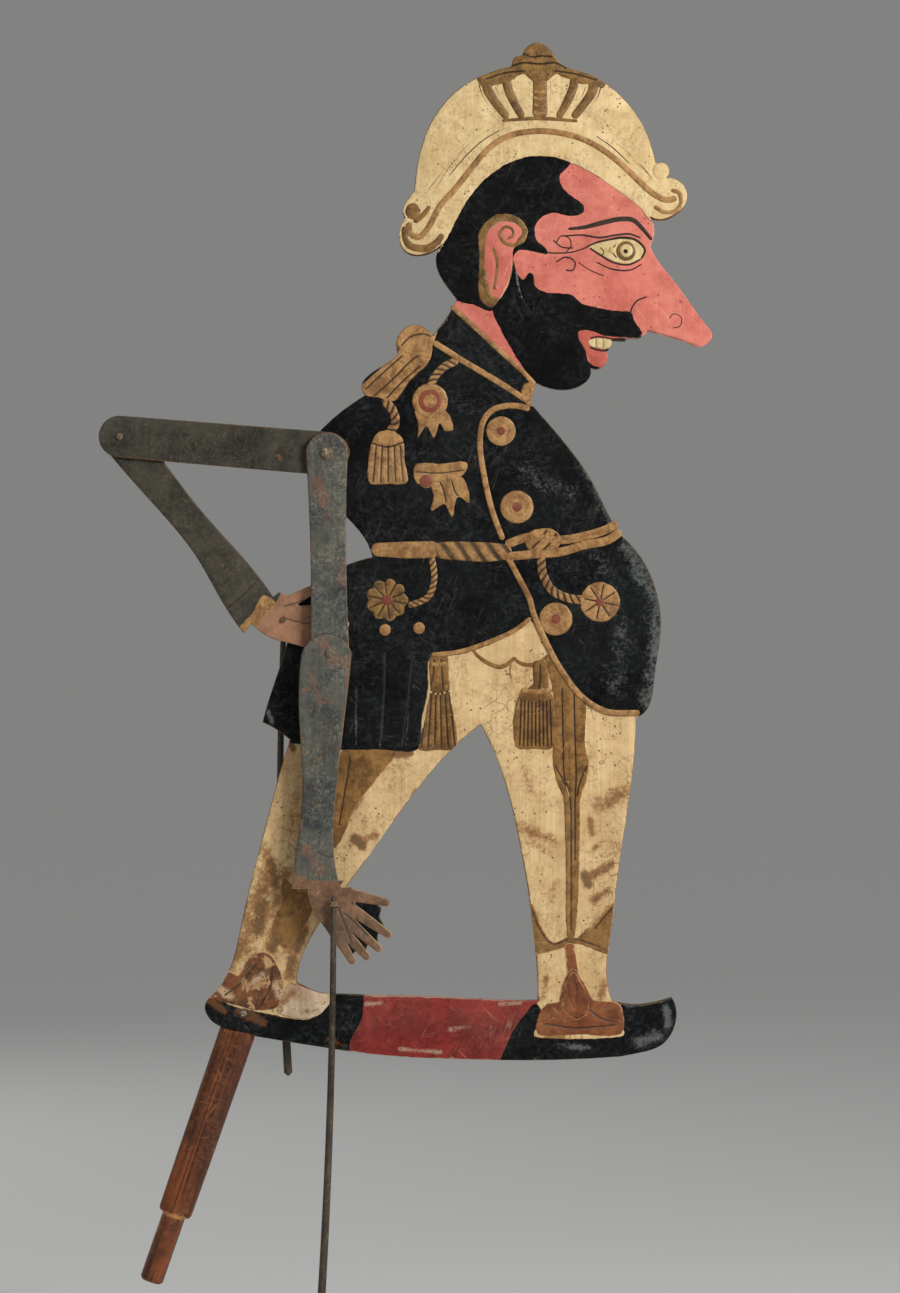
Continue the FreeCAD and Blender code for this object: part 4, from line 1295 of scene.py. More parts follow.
RELIEFS: tuple[Relief, ...] = (
    Relief("hat", (
            "700,228 730,150 640,60 600,40 540,20 440,60 380,170 385,262 430,266 446,244 455,224 "
            "465,205 480,185 495,172 510,163 530,157 555,158 575,165 590,172 605,182 625,196 "
            "640,208 652,220",), Carving(5.5, bevel=0.7, crown=0.15), HAT_CREAM),
    Relief("crown_cap", (
            "477,66 500,50 520,34 545,30 566,44 590,60 608,76 603,88 592,84 581,84 573,80 563,77 "
            "556,74 549,80 540,83 531,80 524,74 516,77 509,82 500,84 491,86 481,86",),
        Carving(6.35, bevel=0.9, crown=0.2), BRONZE, (
            Groove("512,66 522,63 540,64 556,63 566,68", 0.55, 0.4),
            Groove("524,54 532,57 542,56 552,57", 0.5, 0.35),
            Groove("486,79 505,73 524,71", 0.5, 0.35), Groove("556,71 575,74 596,80", 0.5, 0.35)),
        step=0.8),
    Relief("hat_brim", (
            "390,262 430,262 444,244 455,224 465,205 480,185 495,172 510,163 530,157 555,158 "
            "575,165 590,172 605,182 625,196 640,208 652,222 700,228 705,175 680,172 666,184 "
            "655,184 640,166 622,149 600,132 575,122 540,119.5 505,121 490,128 470,142 450,165 "
            "430,195 420,205 412,200 392,205",), Carving(5.82, bevel=0.7), HAT_CREAM),
    Relief("face", (
            "560,150 600,168 652,214 675,222 740,330 710,370 642,350 612,378 560,384 500,330 "
            "470,290 470,240 520,190",), Carving(5.42, bevel=0.7), PINK),
    Relief("neck", ("452,290 475,294 500,302 545,360 542,396 528,388 500,355 470,325 445,300",),
        Carving(5.36, bevel=0.5), PINK),
    Relief("nose_wing",
        ("632,324 632,312 637,303 646,298 657,303 666,312 671,321 664,330 650,334 638,332",),
        Carving(5.75, bevel=1.3), PINK, step=0.7, marks=(Mark("674,318 677,325", 3.2, 0.72),)),
    Relief("lips", (
            "575,330 590,329 641,333 645,342 628,345 618,348 614,352 614,360 609,372 595,370 "
            "586,353 578,340",), Carving(5.62, bevel=0.7), LIP,
        (Groove("598,341 615,340 641,337", 0.4, 0.3),), step=0.7),
    Relief("teeth", ("588,341 597,338 606,338.5 616,341 616,348 606,349.5 599,348 591,346",),
        Carving(5.85, bevel=0.5), EYE, (Groove("596,338 596,343 596,348", 0.3, 0.25),
            Groove("603,338 603,343 603,348", 0.3, 0.25)), step=0.6),
    Relief("eye_white", (
            "588,246 598,243 608,240.5 622,238.5 636,241 644,250 640,259 629,263.5 614,261.5 "
            "602,255",), Carving(5.62, bevel=0.6), EYE, step=0.6),
    Relief("hair", (
            "443,232 455,214 465,198 480,178 495,166 510,157 530,151 555,152 572,158 568,167 "
            "561,174 560,181 565,190 575,198 584,206 583,213 570,216 552,213 541,218 535,228 "
            "537,240 546,248 548,254 534,252 520,250 514,256 512,275 505,300 490,311 474,305 "
            "457,301 435,290 425,262 432,245",), Carving(5.72, bevel=0.6), HAIR_BLACK),
    Relief("beard_and_moustache", (
            "511,250 514,262 517,272 523,279 530,272 534,276 535,285 545,292 560,293 572,295 "
            "582,303 600,308 620,311 631,312 636,322 642,331 641,337 625,337.5 605,336 590,331 "
            "579,332 580,340 586,350 588,360 593,365 604,368 625,380 605,405 560,408 538,398 "
            "531,381 524,369 512,350 501,330 493,311 500,298 507,285 510,268",),
        Carving(5.78, bevel=0.6), HAIR_BLACK,
        (Groove("520,286 524,300 532,312", 0.4, 0.3),
            Groove("514,290 518,306 525,320", 0.4, 0.3)),
        marks=(Mark("516,270 518,284 522,297", 0.9, 0.5),)),
    Relief("ear_rim", (
            "479,262 479,232 487,221 498,214 512,214.5 523,221 528,231 524,242 514,249 513,268 "
            "508,286 500,299 491,307.5 481,301 478,285",), Carving(6.2, bevel=0.9), BRONZE,
        step=0.7),
    Relief("ear_inside", (
            "485,244 488,231 497,223 508,221 518,225 522,232 517,241 513,250 512,268 507,286 "
            "499,299 491,299 485,282 484,260",), Carving(6.32, bevel=0.45), PINK,
        (Groove("494,250 497,262 496,276 494,288", 0.6, 0.4),), step=0.7),
    Relief("collar", (
            "431,339 436,328 452,306 470,323 500,351 524,374 537,386 541,404 530,406 500,386 "
            "460,362",), Carving(5.8, bevel=0.5), BLACK),
    Relief("collar_tip", ("524,384 534,383 539,392 538,402 531,407 522,399",),
        Carving(6.3, bevel=0.8), OCHRE, step=0.7),
    Relief("coat", (
            "300,440 345,400 392,352 433,341 446,350 460,359 500,383 530,403 560,400 640,440 "
            "700,560 700,690 670,722 640,716 605,714.5 580,698 560,671 545,643 533,622 528,622 "
            "515,632.5 490,644.5 460,654.5 431,657.5 428,690 422,720 418,749 380,750 335,749.5 "
            "296,744 250,735 230,700 280,560 300,500",), Carving(5.85, bevel=0.7, crown=0.05),
        BLACK, (Groove("352,655 345,700 337,744", 0.7, 0.45),
            Groove("385,655 384,700 380,746", 0.6, 0.35),
            Groove("412,660 408,700 402,745", 0.5, 0.25)), marks=(
        Mark("356,690 356,745", 0.7, 0.5), Mark("384,700 381,748", 0.7, 0.5),
        Mark("410,690 406,745", 0.6, 0.4), Mark("268,712 272,722", 1.6, 0.7),
        Mark("300,560 340,620", 7.0, 0.3))),
    Relief("coat_flap", (
            "530,412 516,408 500,409 490,415 484,428 482,450 486,475 494,510 504,540 511,560 "
            "522,580 532,600 536,615 548,641 563,668 583,694 607,710 640,712 680,715 700,600 "
            "650,430 560,395",), Carving(6.0, bevel=0.6, crown=0.05), BLACK, marks=(
        # The first three marks lay grey along the right front of the belly: dust, and a painted
        # highlight where the light falls on its rounded edge
        Mark("548,404 577,440 598,482 614,522", 5.5, 0.62),
        Mark("626,548 650,588 657,640 648,700", 6.5, 0.52),
        Mark("600,560 622,640 612,690", 9.0, 0.32), Mark("520,470 570,490", 8.0, 0.28))),
    Relief("shoulder_pad", ("318,437 330,433 345,440 350,452 345,464 330,470 316,462 312,448",),
        Carving(6.0, bevel=0.3), BLACK),
    Relief("belt_knot", ("524,541 530,532 543,528 556,531 562,540 556,549 540,552 528,549",),
        Carving(6.7, bevel=1.0), OCHRE,
        (Groove("532,548 540,540 546,531", 0.6, 0.4),
            Groove("543,550 550,543 556,534", 0.6, 0.4)), step=0.7),
    Relief("epaulette",
        ("358,392 380,368 398,350 416,344 432,345 429,362 411,380 394,401 378,398",),
        Carving(6.35, bevel=0.8), OCHRE, (Groove("366,389 384,372 402,356", 0.5, 0.4),
        Groove("374,396 392,380 412,360 424,352", 0.5, 0.4),
        Groove("386,399 402,382 420,366", 0.5, 0.4))),
    Relief("epaulette_knob",
        ("396,330 405,318 425,316 438,324 435,340 428,353 412,356 400,350 394,340",),
        Carving(6.5, bevel=1.2), OCHRE, (Groove("402,345 410,337 422,334 430,336", 0.5, 0.35),)),
    Relief("shoulder_tassel",
        ("371,444 376,434 386,430 396,432 403,440 405,462 407,482.5 388,484 369.5,483",),
        Carving(6.35, bevel=0.7), OCHRE, upright_cuts(376, 400, 446, 482, 5, 0.25) +
        (Groove("371,443 387,447 404,442", 0.5, 0.45),), step=0.7),
    Relief("medal_ribbons", (
            "415,410 445,410 453,430 445,431 440,424 434,438 426,427 418,438 418,424",
            "429,478 462,477 469,503 458,497 452,517 444,505 431,511 433,495"),
        Carving(6.15, bevel=0.5), OCHRE, (Groove("440,482 444,492 446,502", 0.4, 0.35),
            Groove("452,482 455,492 458,496", 0.4, 0.35)), step=0.7),
    Relief("medal_bar", ("415,465 440,463.5 467,463 465,473 448,481 430,482 417,484",),
        Carving(6.35, bevel=0.5), OCHRE, (Groove("418,472 440,473 464,470", 0.4, 0.3),), step=0.7),
    Relief("round_rosette", (ROSETTE,), Carving(6.4, bevel=0.7), OCHRE,
        petal_cuts((600, 602), 5, 17, 8), step=0.7),
    Relief("scalloped_rosette", (DARK_ROSETTE,), Carving(6.35, bevel=0.8), BRONZE,
        petal_cuts((387, 600), 7, 19, 10), step=0.7),
    Relief("left_hip_tassel",
        ("431,655 446,653 449,680 451,700 456,748 440,750 419,749 425,718 430,690",),
        Carving(5.75, bevel=0.6), BROWN, upright_cuts(427, 449, 692, 747, 6, 0.55) + (
            Groove("428,691 439,694 451,690", 0.5, 0.4),
            Groove("434,660 433,675 430,688", 0.45, 0.35),
            Groove("441,660 442,675 443,688", 0.45, 0.35)), step=0.8),
    Relief("right_tassel_neck", ("534,662 546,662 549,690 551,699 521,699 526,690 533,684",),
        Carving(5.9, bevel=0.6), BROWN, (Groove("540,665 540,680 538,694", 0.45, 0.35),),
        step=0.8),
    Relief("right_hip_tassel", ("521,692 550,692 553,747 535,749 516.5,747",),
        Carving(5.75, bevel=0.6), BROWN, upright_cuts(521, 550, 701, 745, 9, 0.1, 0.35), step=0.8),
    Relief("front_leg_stripe", (
            "546,655 553,690 554,720 553,763 557,782 563,797 565,830 566,880 566,915 569,940 "
            "573,940 577,915 579,880 580,830 581,797 587,780 589,764 585,745 585,700 575,685 "
            "560,665",), Carving(5.72, bevel=0.45), BROWN, (
            Groove("562,690 563,740 564,775 570,800 571,860 571,930", 0.42, 0.35),
            Groove("574,695 575,740 576,775 575,800 575,860", 0.42, 0.35),
            Groove("555,766 564,782 569,796", 0.4, 0.3),
            Groove("587,766 580,782 577,796", 0.4, 0.3)), step=0.8),
    Relief("ankle_bands", (
            "524,898 533,905 541,925 553,942 571,936 576,938 590,928 616,944 618,956 600,952 "
            "577,944 560,949 545,953 526,955",), Carving(5.6, bevel=0.4), BROWN,
        (Groove("530,905 540,930 552,944 572,939 600,947", 0.4, 0.25),)),
    Relief("ankle_wedge", ("616,902 606,912 594,926 588,931 600,942 618,950",),
        Carving(5.55, bevel=0.35), BROWN, (Groove("612,908 602,920 594,930", 0.4, 0.22),)),
    Relief("shoe", (
            "537,1033.5 540,1012 548,1004 560,1001 562,986 573,968 585,984 594,1000 608,1001 "
            "620,1005 622,1033 580,1035",), Carving(5.85, bevel=0.6), COPPER, (
        Groove("546,1024 575,1028 614,1025", 0.45, 0.35),
        Groove("589,1010 600,1018 612,1022", 0.45, 0.35))),
    Relief("shoe_leaf",
        ("563,1010 560,998 565,984 573.5,972 583,985 589,1000 587,1014 576,1020",),
        Carving(6.05, bevel=0.6), COPPER, (Groove("574,978 576,996 576,1014", 0.45, 0.35),
            Groove("568,988 570,1000 576,1010", 0.4, 0.3)), step=0.7),
    Relief("shoe_strap", ("566,944 574,944 577,960 578,975 569,975 566,960",),
        Carving(5.75, bevel=0.5), COPPER, step=0.7),
    Relief("shoe_welt",
        ("536,1029 560,1033 600,1032.5 624,1030 624,1035 590,1039 550,1038.5 534,1036",),
        Carving(5.76, bevel=0.3), CREAM, step=0.8),
    Relief("rear_leg_stripe",
        ("345,748 397,748 376,780 356,805 346,830 335,848 328,820 334,780",),
        Carving(5.56, bevel=0.4), BROWN, (Groove("350,760 345,790 339,825", 0.45, 0.25),)),
    Relief("rear_ankle_wedge",
        ("284,878 300,892 322,884 312,912 298,936 284,948 272,930 280,905",),
        Carving(5.54, bevel=0.4), BROWN),
    Relief("rear_shoe", (
            "190,1000 212,978 224,968 238,975 246,962 258,952 270,954 278,966 283,980 282,998 "
            "276,1008 255,1010 235,1005 212,1000",), Carving(5.75, bevel=0.5), WORN_COPPER, (
            Groove("225,995 242,982 256,964", 0.5, 0.35),
            Groove("262,1003 270,988 272,965", 0.5, 0.3)), marks=(
        Mark("250,985 262,975", 2.4, 0.7), Mark("276,985 280,996", 3.0, 0.8),
        Mark("214,985 232,998", 2.6, 0.7))),
    Relief("rear_toe",
        ("280,1002 289,984 300,985 322,990 340,990 331,1002 320,1015 304,1019 288,1017 "
         "277,1012",), Carving(5.6, bevel=0.5, crown=0.1), PALE_PAINT,
        marks=(Mark("284,1002 292,992", 3.0, 0.8), Mark("300,1012 318,1010", 2.0, 0.6))),
    Relief("bar_rear_black", (
            "185,985 215,999 240,1008 265,1013 290,1018 306,1019.5 319,1014 331,1001 340,985 "
            "364,980 364,1000 362,1020 352,1040 344,1070 280,1065 180,1040",),
        Carving(5.66, bevel=0.6), BAR_BLACK, marks=(Mark("208,1000 224,1010", 3.0, 0.8),
        Mark("240,1010 262,1022", 3.4, 0.85), Mark("262,1008 286,1016", 2.6, 0.6),
        Mark("330,1040 345,1046", 2.4, 0.5))),
    Relief("bar_red", (
            "361,975 440,985 537,993 539,1001 529,1013 514,1036 507,1075 335,1075 350,1040 "
            "360,1020 362,1000",), Carving(5.5, bevel=0.6), RED, marks=(
        Mark("366,1004 380,1003", 1.4, 0.8), Mark("400,1049 440,1052", 1.6, 0.7),
        Mark("450,1030 470,1026", 1.6, 0.5), Mark("500,1004 520,1003", 1.4, 0.8))),
    Relief("bar_front_black", (
            "535,1003 541,1010 539,1032 575,1035 620,1033 622,1010 617,998 640,985 700,980 "
            "700,1080 500,1080 510,1036 524,1015",), Carving(5.64, bevel=0.6), BLACK, marks=(
        Mark("640,1042 656,1036", 4.2, 0.7), Mark("666,1008 668,1026", 2.6, 0.66),
        Mark("560,1046 590,1048", 2.2, 0.6), Mark("628,1006 640,1004", 2.2, 0.6))),
)

TRIMS: tuple[tuple[str, Finish, tuple[Trim, ...]], ...] = (
    ("crown_bars", BRONZE, (Trim("486,80 488,90 496,103 508,118", (10, 9, 8), 5.5, 0.95),
        Trim("506,76 508,88 515,104 523,118", (9, 9, 7), 5.5, 0.9),
        Trim("540,70 540,95 540,119", (15, 14, 16), 5.5, 1.0),
        Trim("575,76 573,88 566,104 558,118", (9, 9, 7), 5.5, 0.9),
        Trim("594,81 592,92 584,104 573,118", (10, 9, 8), 5.5, 0.95),
        Trim("502,120.5 540,118.5 578,121", (3, 4, 3), 5.6, 0.6))),
    ("crown_ribs", OCHRE, (Trim("533,91 540,92 547,91", 4, 6.15, 0.35),
        Trim("533,98 540,99 547,98", 4, 6.15, 0.35),
        Trim("533,105 540,106 547,105", 4, 6.15, 0.35),
        Trim("533,112 540,113 547,112", 4, 6.15, 0.35))),
    ("crown_lines", INK, (Trim("479,84 482,94 491,108 502,120", 1.6, 5.45, 0.2),
        Trim("495,86 499,96 506,107 514,119", 1.4, 5.45, 0.2),
        Trim("530,80 529,100 530,118", 1.6, 5.45, 0.2),
        Trim("550,80 551,100 550,118", 1.6, 5.45, 0.2),
        Trim("601,86 598,96 590,107 579,120", 1.6, 5.45, 0.2),
        Trim("586,86 582,96 575,107 567,119", 1.4, 5.45, 0.2))),
    ("brim_trim", OCHRE, (
        Trim(
            "409,222 410,233 419,237 428,228 440,206 455,189 470,170 485,152 500,140 515,134 "
            "540,131 560,133 580,138 600,148 620,163 640,182 655,195 667,200 677,198", 6, 5.8,
            0.6), Trim("654,206 664,212 675,211 681,203 679,193 671,190", 4, 5.8, 0.5))),
    ("brim_lobe", BRONZE, (
        Trim("404,226 405,237 409,245 417,248 428,248 436,243 443,234", (5, 7, 8, 6), 5.75, 0.6),
        Trim("414,203 413,211 416,219", (12, 16, 12), 5.75, 0.9),
        Trim("414,222 424,214 430,206", (6, 5, 4), 5.9, 0.5))),
    ("brim_line", INK, (Trim("428,190 440,175 452,161", (1, 2.4, 1.4), 5.45, 0.2),
        Trim("456,157 468,144 480,134", (1.4, 2.6, 1.2), 5.45, 0.2),
        Trim("484,131 496,125 508,119", (1.2, 2.4, 1.4), 5.45, 0.2),
        Trim("580,121 594,127 606,134", (1.4, 2.4, 1), 5.45, 0.2),
        Trim("611,138 624,149 634,158", (1.2, 2.4, 1.2), 5.45, 0.2),
        Trim("638,162 646,171 653,180", (1.4, 2, 1), 5.45, 0.2),
        Trim("449,176 464,158 482,141 500,130", (0.8, 1.2, 0.8), 5.77, 0.12),
        Trim("596,136 612,147 630,164", (0.8, 1.2, 0.8), 5.77, 0.12))),
    ("brow_and_lines", INK, (
        Trim("568,229 585,227 601,223 620,219 633,220 642,228 652,240", (2.5, 4, 5, 5, 5, 4, 3),
            5.4, 0.3),
        Trim("563,236 582,235 600,237.5 616,235 630,234 641,238", (1.5, 2.2, 1.8), 5.4, 0.2),
        Trim("586,247 598,242 609,239.5 622,237.5 636,240 645,250 641,259", (1.5, 2.6, 1.8), 5.55,
            0.25), Trim("590,248 602,256 614,262.5 629,264.5 641,259", 1.8, 5.55, 0.22),
        Trim("596,262 612,269 630,270 642,264", (1.2, 1.8, 1.2), 5.4, 0.18),
        Trim("556,262 566,257 575,262 573,270 565,270", 1.6, 5.4, 0.18),
        Trim("553,240 562,247 574,248", 1.5, 5.4, 0.18),
        Trim("543,252 556,253 572,252 588,247", 1.5, 5.4, 0.18),
        Trim("556,243 561,236 569,238 571,246 566,252", 1.2, 5.4, 0.15),
        Trim("578,262 590,270 604,276", 1.1, 5.4, 0.15),
        Trim("616,244 612,251 617,258", 1.2, 5.62, 0.15),
        Trim("600,247 604,252 601,256", 1, 5.62, 0.15),
        Trim("609,348.5 604,350.5 597,349.5 590,347", 1.8, 5.75, 0.3),
        Trim("590,338 600,336.5 612,339 626,340", 1.4, 5.8, 0.25),
        Trim("668,322 673,314 681,317 680,326 672,328", 1.2, 5.35, 0.12),
        Trim("632,324 631,311 637,301 647,296.5", 1.6, 5.4, 0.3))),
    ("ear_curl", BRONZE, (
        Trim("523,238 515,245 505,243 500,234 505,227 512,229 513,236 508,238", (4, 3.4, 2.4),
            6.25, 0.35), Trim("484,268 486,284 491,297 499,300", (4, 5, 4), 6.25, 0.35))),
    ("scalloped_line", BROWN, (
        Trim("472,649 479,657 490,664 500,667 509,663 515,657", (3, 4.4, 5, 3.4), 5.2, 0.35),
        Trim("513,657 520,663 530,665 540,662 546,657", (3, 4.4, 4, 3), 5.2, 0.35),
        Trim("511,664 510,672 512,680", (2, 1.6, 1), 5.2, 0.2))),
    ("collar_trim", OCHRE, (Trim("451,306 470,323 500,351 524,373 535,385", 5, 5.75, 0.6),
        Trim("433,342 446,350 460,359 500,383 526,400", 6, 5.8, 0.62))),
    ("coat_trim", OCHRE, (
        Trim("530,409 518,406 505,406 491,411 482.5,423 480,445 484,475 492,510 503,540", 6, 5.85,
            0.62),
        Trim("507,556 519,578 530,600 533,612 545,640 560,668 580,695 605,711 640,713", 6, 5.85,
            0.62), Trim("431,655 460,651.5 490,641.5 515,630 531,618", 4.6, 5.8, 0.5))),
    ("belt", OCHRE, (Trim("371,549.5 400,550 440,549.5", (13, 17, 17), 5.85, 0.72),)),
    ("belt_rope", OCHRE, (
        Trim("432,550 460,551 485,552 512,552", (16, 19, 20, 15), 5.85, 0.95, 8.5),
        Trim("505,545 530,537 560,540 585,536 605,530 618,523", (9, 9, 9, 9), 5.9, 0.7),
        Trim("505,557 535,554 560,552 585,545 608,540 621,531", (9, 9, 9, 9), 5.9, 0.7))),
    ("coat_cords", OCHRE, (Trim("541,556 543,574 552,590 568,598 586,600", 9, 5.9, 0.62, 4.0),
        Trim("432,557 434,580 428,597 408,606", 6.5, 5.85, 0.55, 3.4),
        Trim("383,399 393,411 395,424 388,433", 9, 5.85, 0.62, 4.0),
        Trim("458,360 444,367 434,378 430,388", 8, 5.85, 0.55, 3.6))),
    ("tassel_bands", OCHRE,
    (Trim("521,690 536,692 550,690", 5, 5.7, 0.5), Trim("430,663 438,665 446,663", 4, 5.7, 0.4))),
)

BOSSES: tuple[tuple[str, Finish, tuple[tuple, ...]], ...] = (
    ("buttons_and_rosettes", OCHRE, (
        ((501, 431), 15, 5.85, BUTTON), ((517, 507), 17, 5.85, BUTTON),
        ((556, 619), 17, 5.85, BUTTON), ((430, 401), 18, 5.85, BUTTON), ((430, 401), 8, 6.1, PIP),
        ((385, 630), 6, 5.85, DOME), ((419, 628), 6, 5.85, DOME))),
    ("button_centres", RED_DOT, (
        ((501, 431), 5.4, 5.9, PIP), ((517, 507), 6.12, 5.9, PIP), ((556, 619), 6.12, 5.9, PIP),
        ((600, 602), 5, 6.0, PIP, 7, 0.12), ((387, 600), 6, 5.9, PIP, 9, 0.12),
        ((430, 401), 12.5, 6.0, MEDAL), ((426, 481), 7, 5.9, PIP))),
    ("iris", IRIS, (((626, 251), 10.3, 5.4, DISC),)),
    ("iris_middle", EYE, (((626.5, 250.5), 6.6, 5.6, PIP), ((612, 250), 3.2, 5.3, PIP))),
    ("pupil", INK, (((626, 251), 3.6, 6.02, PUPIL),)),
    ("hat_bead", HAT_CREAM, (((661, 171), 8.5, 5.5, DOME),)),
)

MARKS: tuple[Mark, ...] = (
    Mark("600,810 612,800 628,790", 3.8, 0.8),
    Mark("602,800 614,791 622,788", 3.0, 0.62),
    Mark("594,806 600,797", 2.8, 0.62),
    Mark("590,820 592,834", 2.2, 0.95),
    Mark("594,848 604,842", 2.4, 0.6),
    Mark("587,882 597,873 610,865", 3.4, 1.0),
    Mark("585,876 588,884", 2.8, 1.5),
    Mark("588,934 600,923 613,911", 4.0, 1.0),
    Mark("598,940 610,930", 3.0, 0.85),
    Mark("594,900 608,890", 2.8, 0.85),
    Mark("522,828 538,835 556,842", 4.4, 0.68),
    Mark("530,842 546,850", 3.4, 0.6),
    Mark("355,839 362,845", 3.0, 1.5),
    Mark("364,840 376,836", 2.6, 0.8),
    Mark("398,755 410,753", 2.4, 1.3),
    Mark("291,744 293,749", 1.8, 1.5),
    Mark("258,846 268,862 262,880", 6.0, 0.66),
    Mark("266,880 252,910 242,950", 7.5, 0.74),
    Mark("286,872 280,905 270,955", 6.5, 0.66),
    Mark("302,892 300,920 290,950", 5.5, 0.78),
    Mark("316,862 322,880 312,900", 4.5, 0.66),
    Mark("294,950 290,975", 4.6, 0.9),
    Mark("262,905 258,930", 4.0, 1.25),
    Mark("280,925 272,948", 4.0, 1.2),
    Mark("304,930 296,948", 3.4, 1.2),
    Mark("270,860 276,884", 3.6, 1.0),
    Mark("236,945 226,972", 5.0, 0.95),
    Mark("300,770 296,800 290,830", 3.4, 0.5),
    Mark("365,790 352,812", 2.2, 0.62),
    Mark("536,915 538,940", 2.6, 0.8),
    Mark("605,985 600,998", 3.2, 0.8),
    Mark("546,978 543,998", 2.6, 0.66),
    Mark("556,880 552,900", 2.4, 0.5),
    Mark("525,770 530,790", 2.8, 0.48),
    Mark("440,690 446,720", 2.6, 0.46),
    Mark("470,690 490,700", 3.0, 0.4),
    Mark("400,800 420,790", 3.0, 0.44),
)


def turned_peg(node: str, head: float, head_height: float, tail: float,
               tail_height: float) -> Shell:
    """Peg with a domed head at its front and a flatter, hammered end at its back.

    Args:
        node: Node of the frame that it stands for, which gives its place and length.
        head: Head radius.
        head_height: Head height.
        tail: Radius of the hammered end.
        tail_height: Its height.

    Returns:
        The peg.
    """
    low, high = node_box(node)
    front, back = low[1], high[1]
    shaft = min(head, tail) * 0.58
    profile = [(0, front + 0.02)] + [
        (head * math.sin(a), front + head_height * (1 - math.cos(a) ** 0.8))
        for a in (0.35, 0.7, 1.0, 1.25, 1.45)] + [
        (head, front + head_height * 0.94), (head * 0.96, front + head_height),
        (shaft, front + head_height + 0.01), (shaft, back - tail_height - 0.01),
        (tail * 0.95, back - tail_height), (tail, back - tail_height * 0.8)] + [
        (tail * math.sin(a), back - tail_height * 0.75 * (1 - math.cos(a)))
        for a in (1.25, 0.95, 0.6, 0.3)] + [(0, back - 0.02)]
    return turned(middle_of(low, high), profile, 36)


@dataclass
class PegsAndRings:
    """The shoulder peg with its two leather rings, and the two elbow pegs."""

    shoulder_head: float = 3.4
    small_head: float = 2.0
    large_head: float = 2.7
    ring_hole: float = 2.1
    ring_softness: float = 0.35
    ring_turns: int = 48
    ring_corners: int = 24

    def build(self) -> None:
        """Builds the pegs and rings."""
        for node, body, head, head_height, tail, tail_height in (
                ("shoulder_peg", "puppet", self.shoulder_head, 1.6, self.shoulder_head, 1.1),
                ("near_elbow_peg", "near_upper", self.large_head, 1.3, self.small_head, 1.2),
                ("far_elbow_peg", "far_upper", self.small_head, 1.3, self.large_head, 1.2)):
            peg = turned_peg(node, head, head_height, tail, tail_height)
            add_piece(node.replace("peg", "pin"), [peg], PEG_WOOD, body, (node,))
        for node in ("shoulder_spacer", "shoulder_washer"):
            self.ring(node)

    def ring(self, node: str) -> None:
        """Leather ring: a rounded oblong section turned about the peg.

        The section's point at angle a lies at half its size times sign(cos a) |cos a| ** softness
        across the ring, and the same with sin a along the peg.
        """
        low, high = node_box(node)
        centre = middle_of(low, high)
        outer, inner = (high[0] - low[0]) / 2, self.ring_hole
        angle = turns_of(self.ring_corners)
        middle_r, middle_y = (outer + inner) / 2, (low[1] + high[1]) / 2
        half_r, half_y = (outer - inner) / 2, (high[1] - low[1]) / 2
        wide, deep = (np.sign(part) * np.abs(part) ** self.ring_softness
                      for part in (np.cos(angle), np.sin(angle)))
        r, y = middle_r + half_r * wide, middle_y - half_y * deep
        turn = turns_of(self.ring_turns)[:, None]
        grid = np.stack([centre[0] + r * np.cos(turn), np.tile(y, (self.ring_turns, 1)),
                         centre[1] + r * np.sin(turn)], axis=-1)
        index = np.arange(grid.shape[0] * grid.shape[1]).reshape(grid.shape[:2])
        along, across = np.roll(index, -1, axis=0), np.roll(index, -1, axis=1)
        both = np.roll(along, -1, axis=1)
        faces = np.stack([index, across, both, along], axis=-1).reshape(-1, 4)
        rim = np.tile(np.clip((r - middle_r) / half_r, 0, 1), self.ring_turns)
        add_piece(node.replace("shoulder", "shoulder_leather"),
                  [Shell(grid.reshape(-1, 3), [faces], {"rim": rim})], RING_LEATHER, "puppet",
                  (node,))


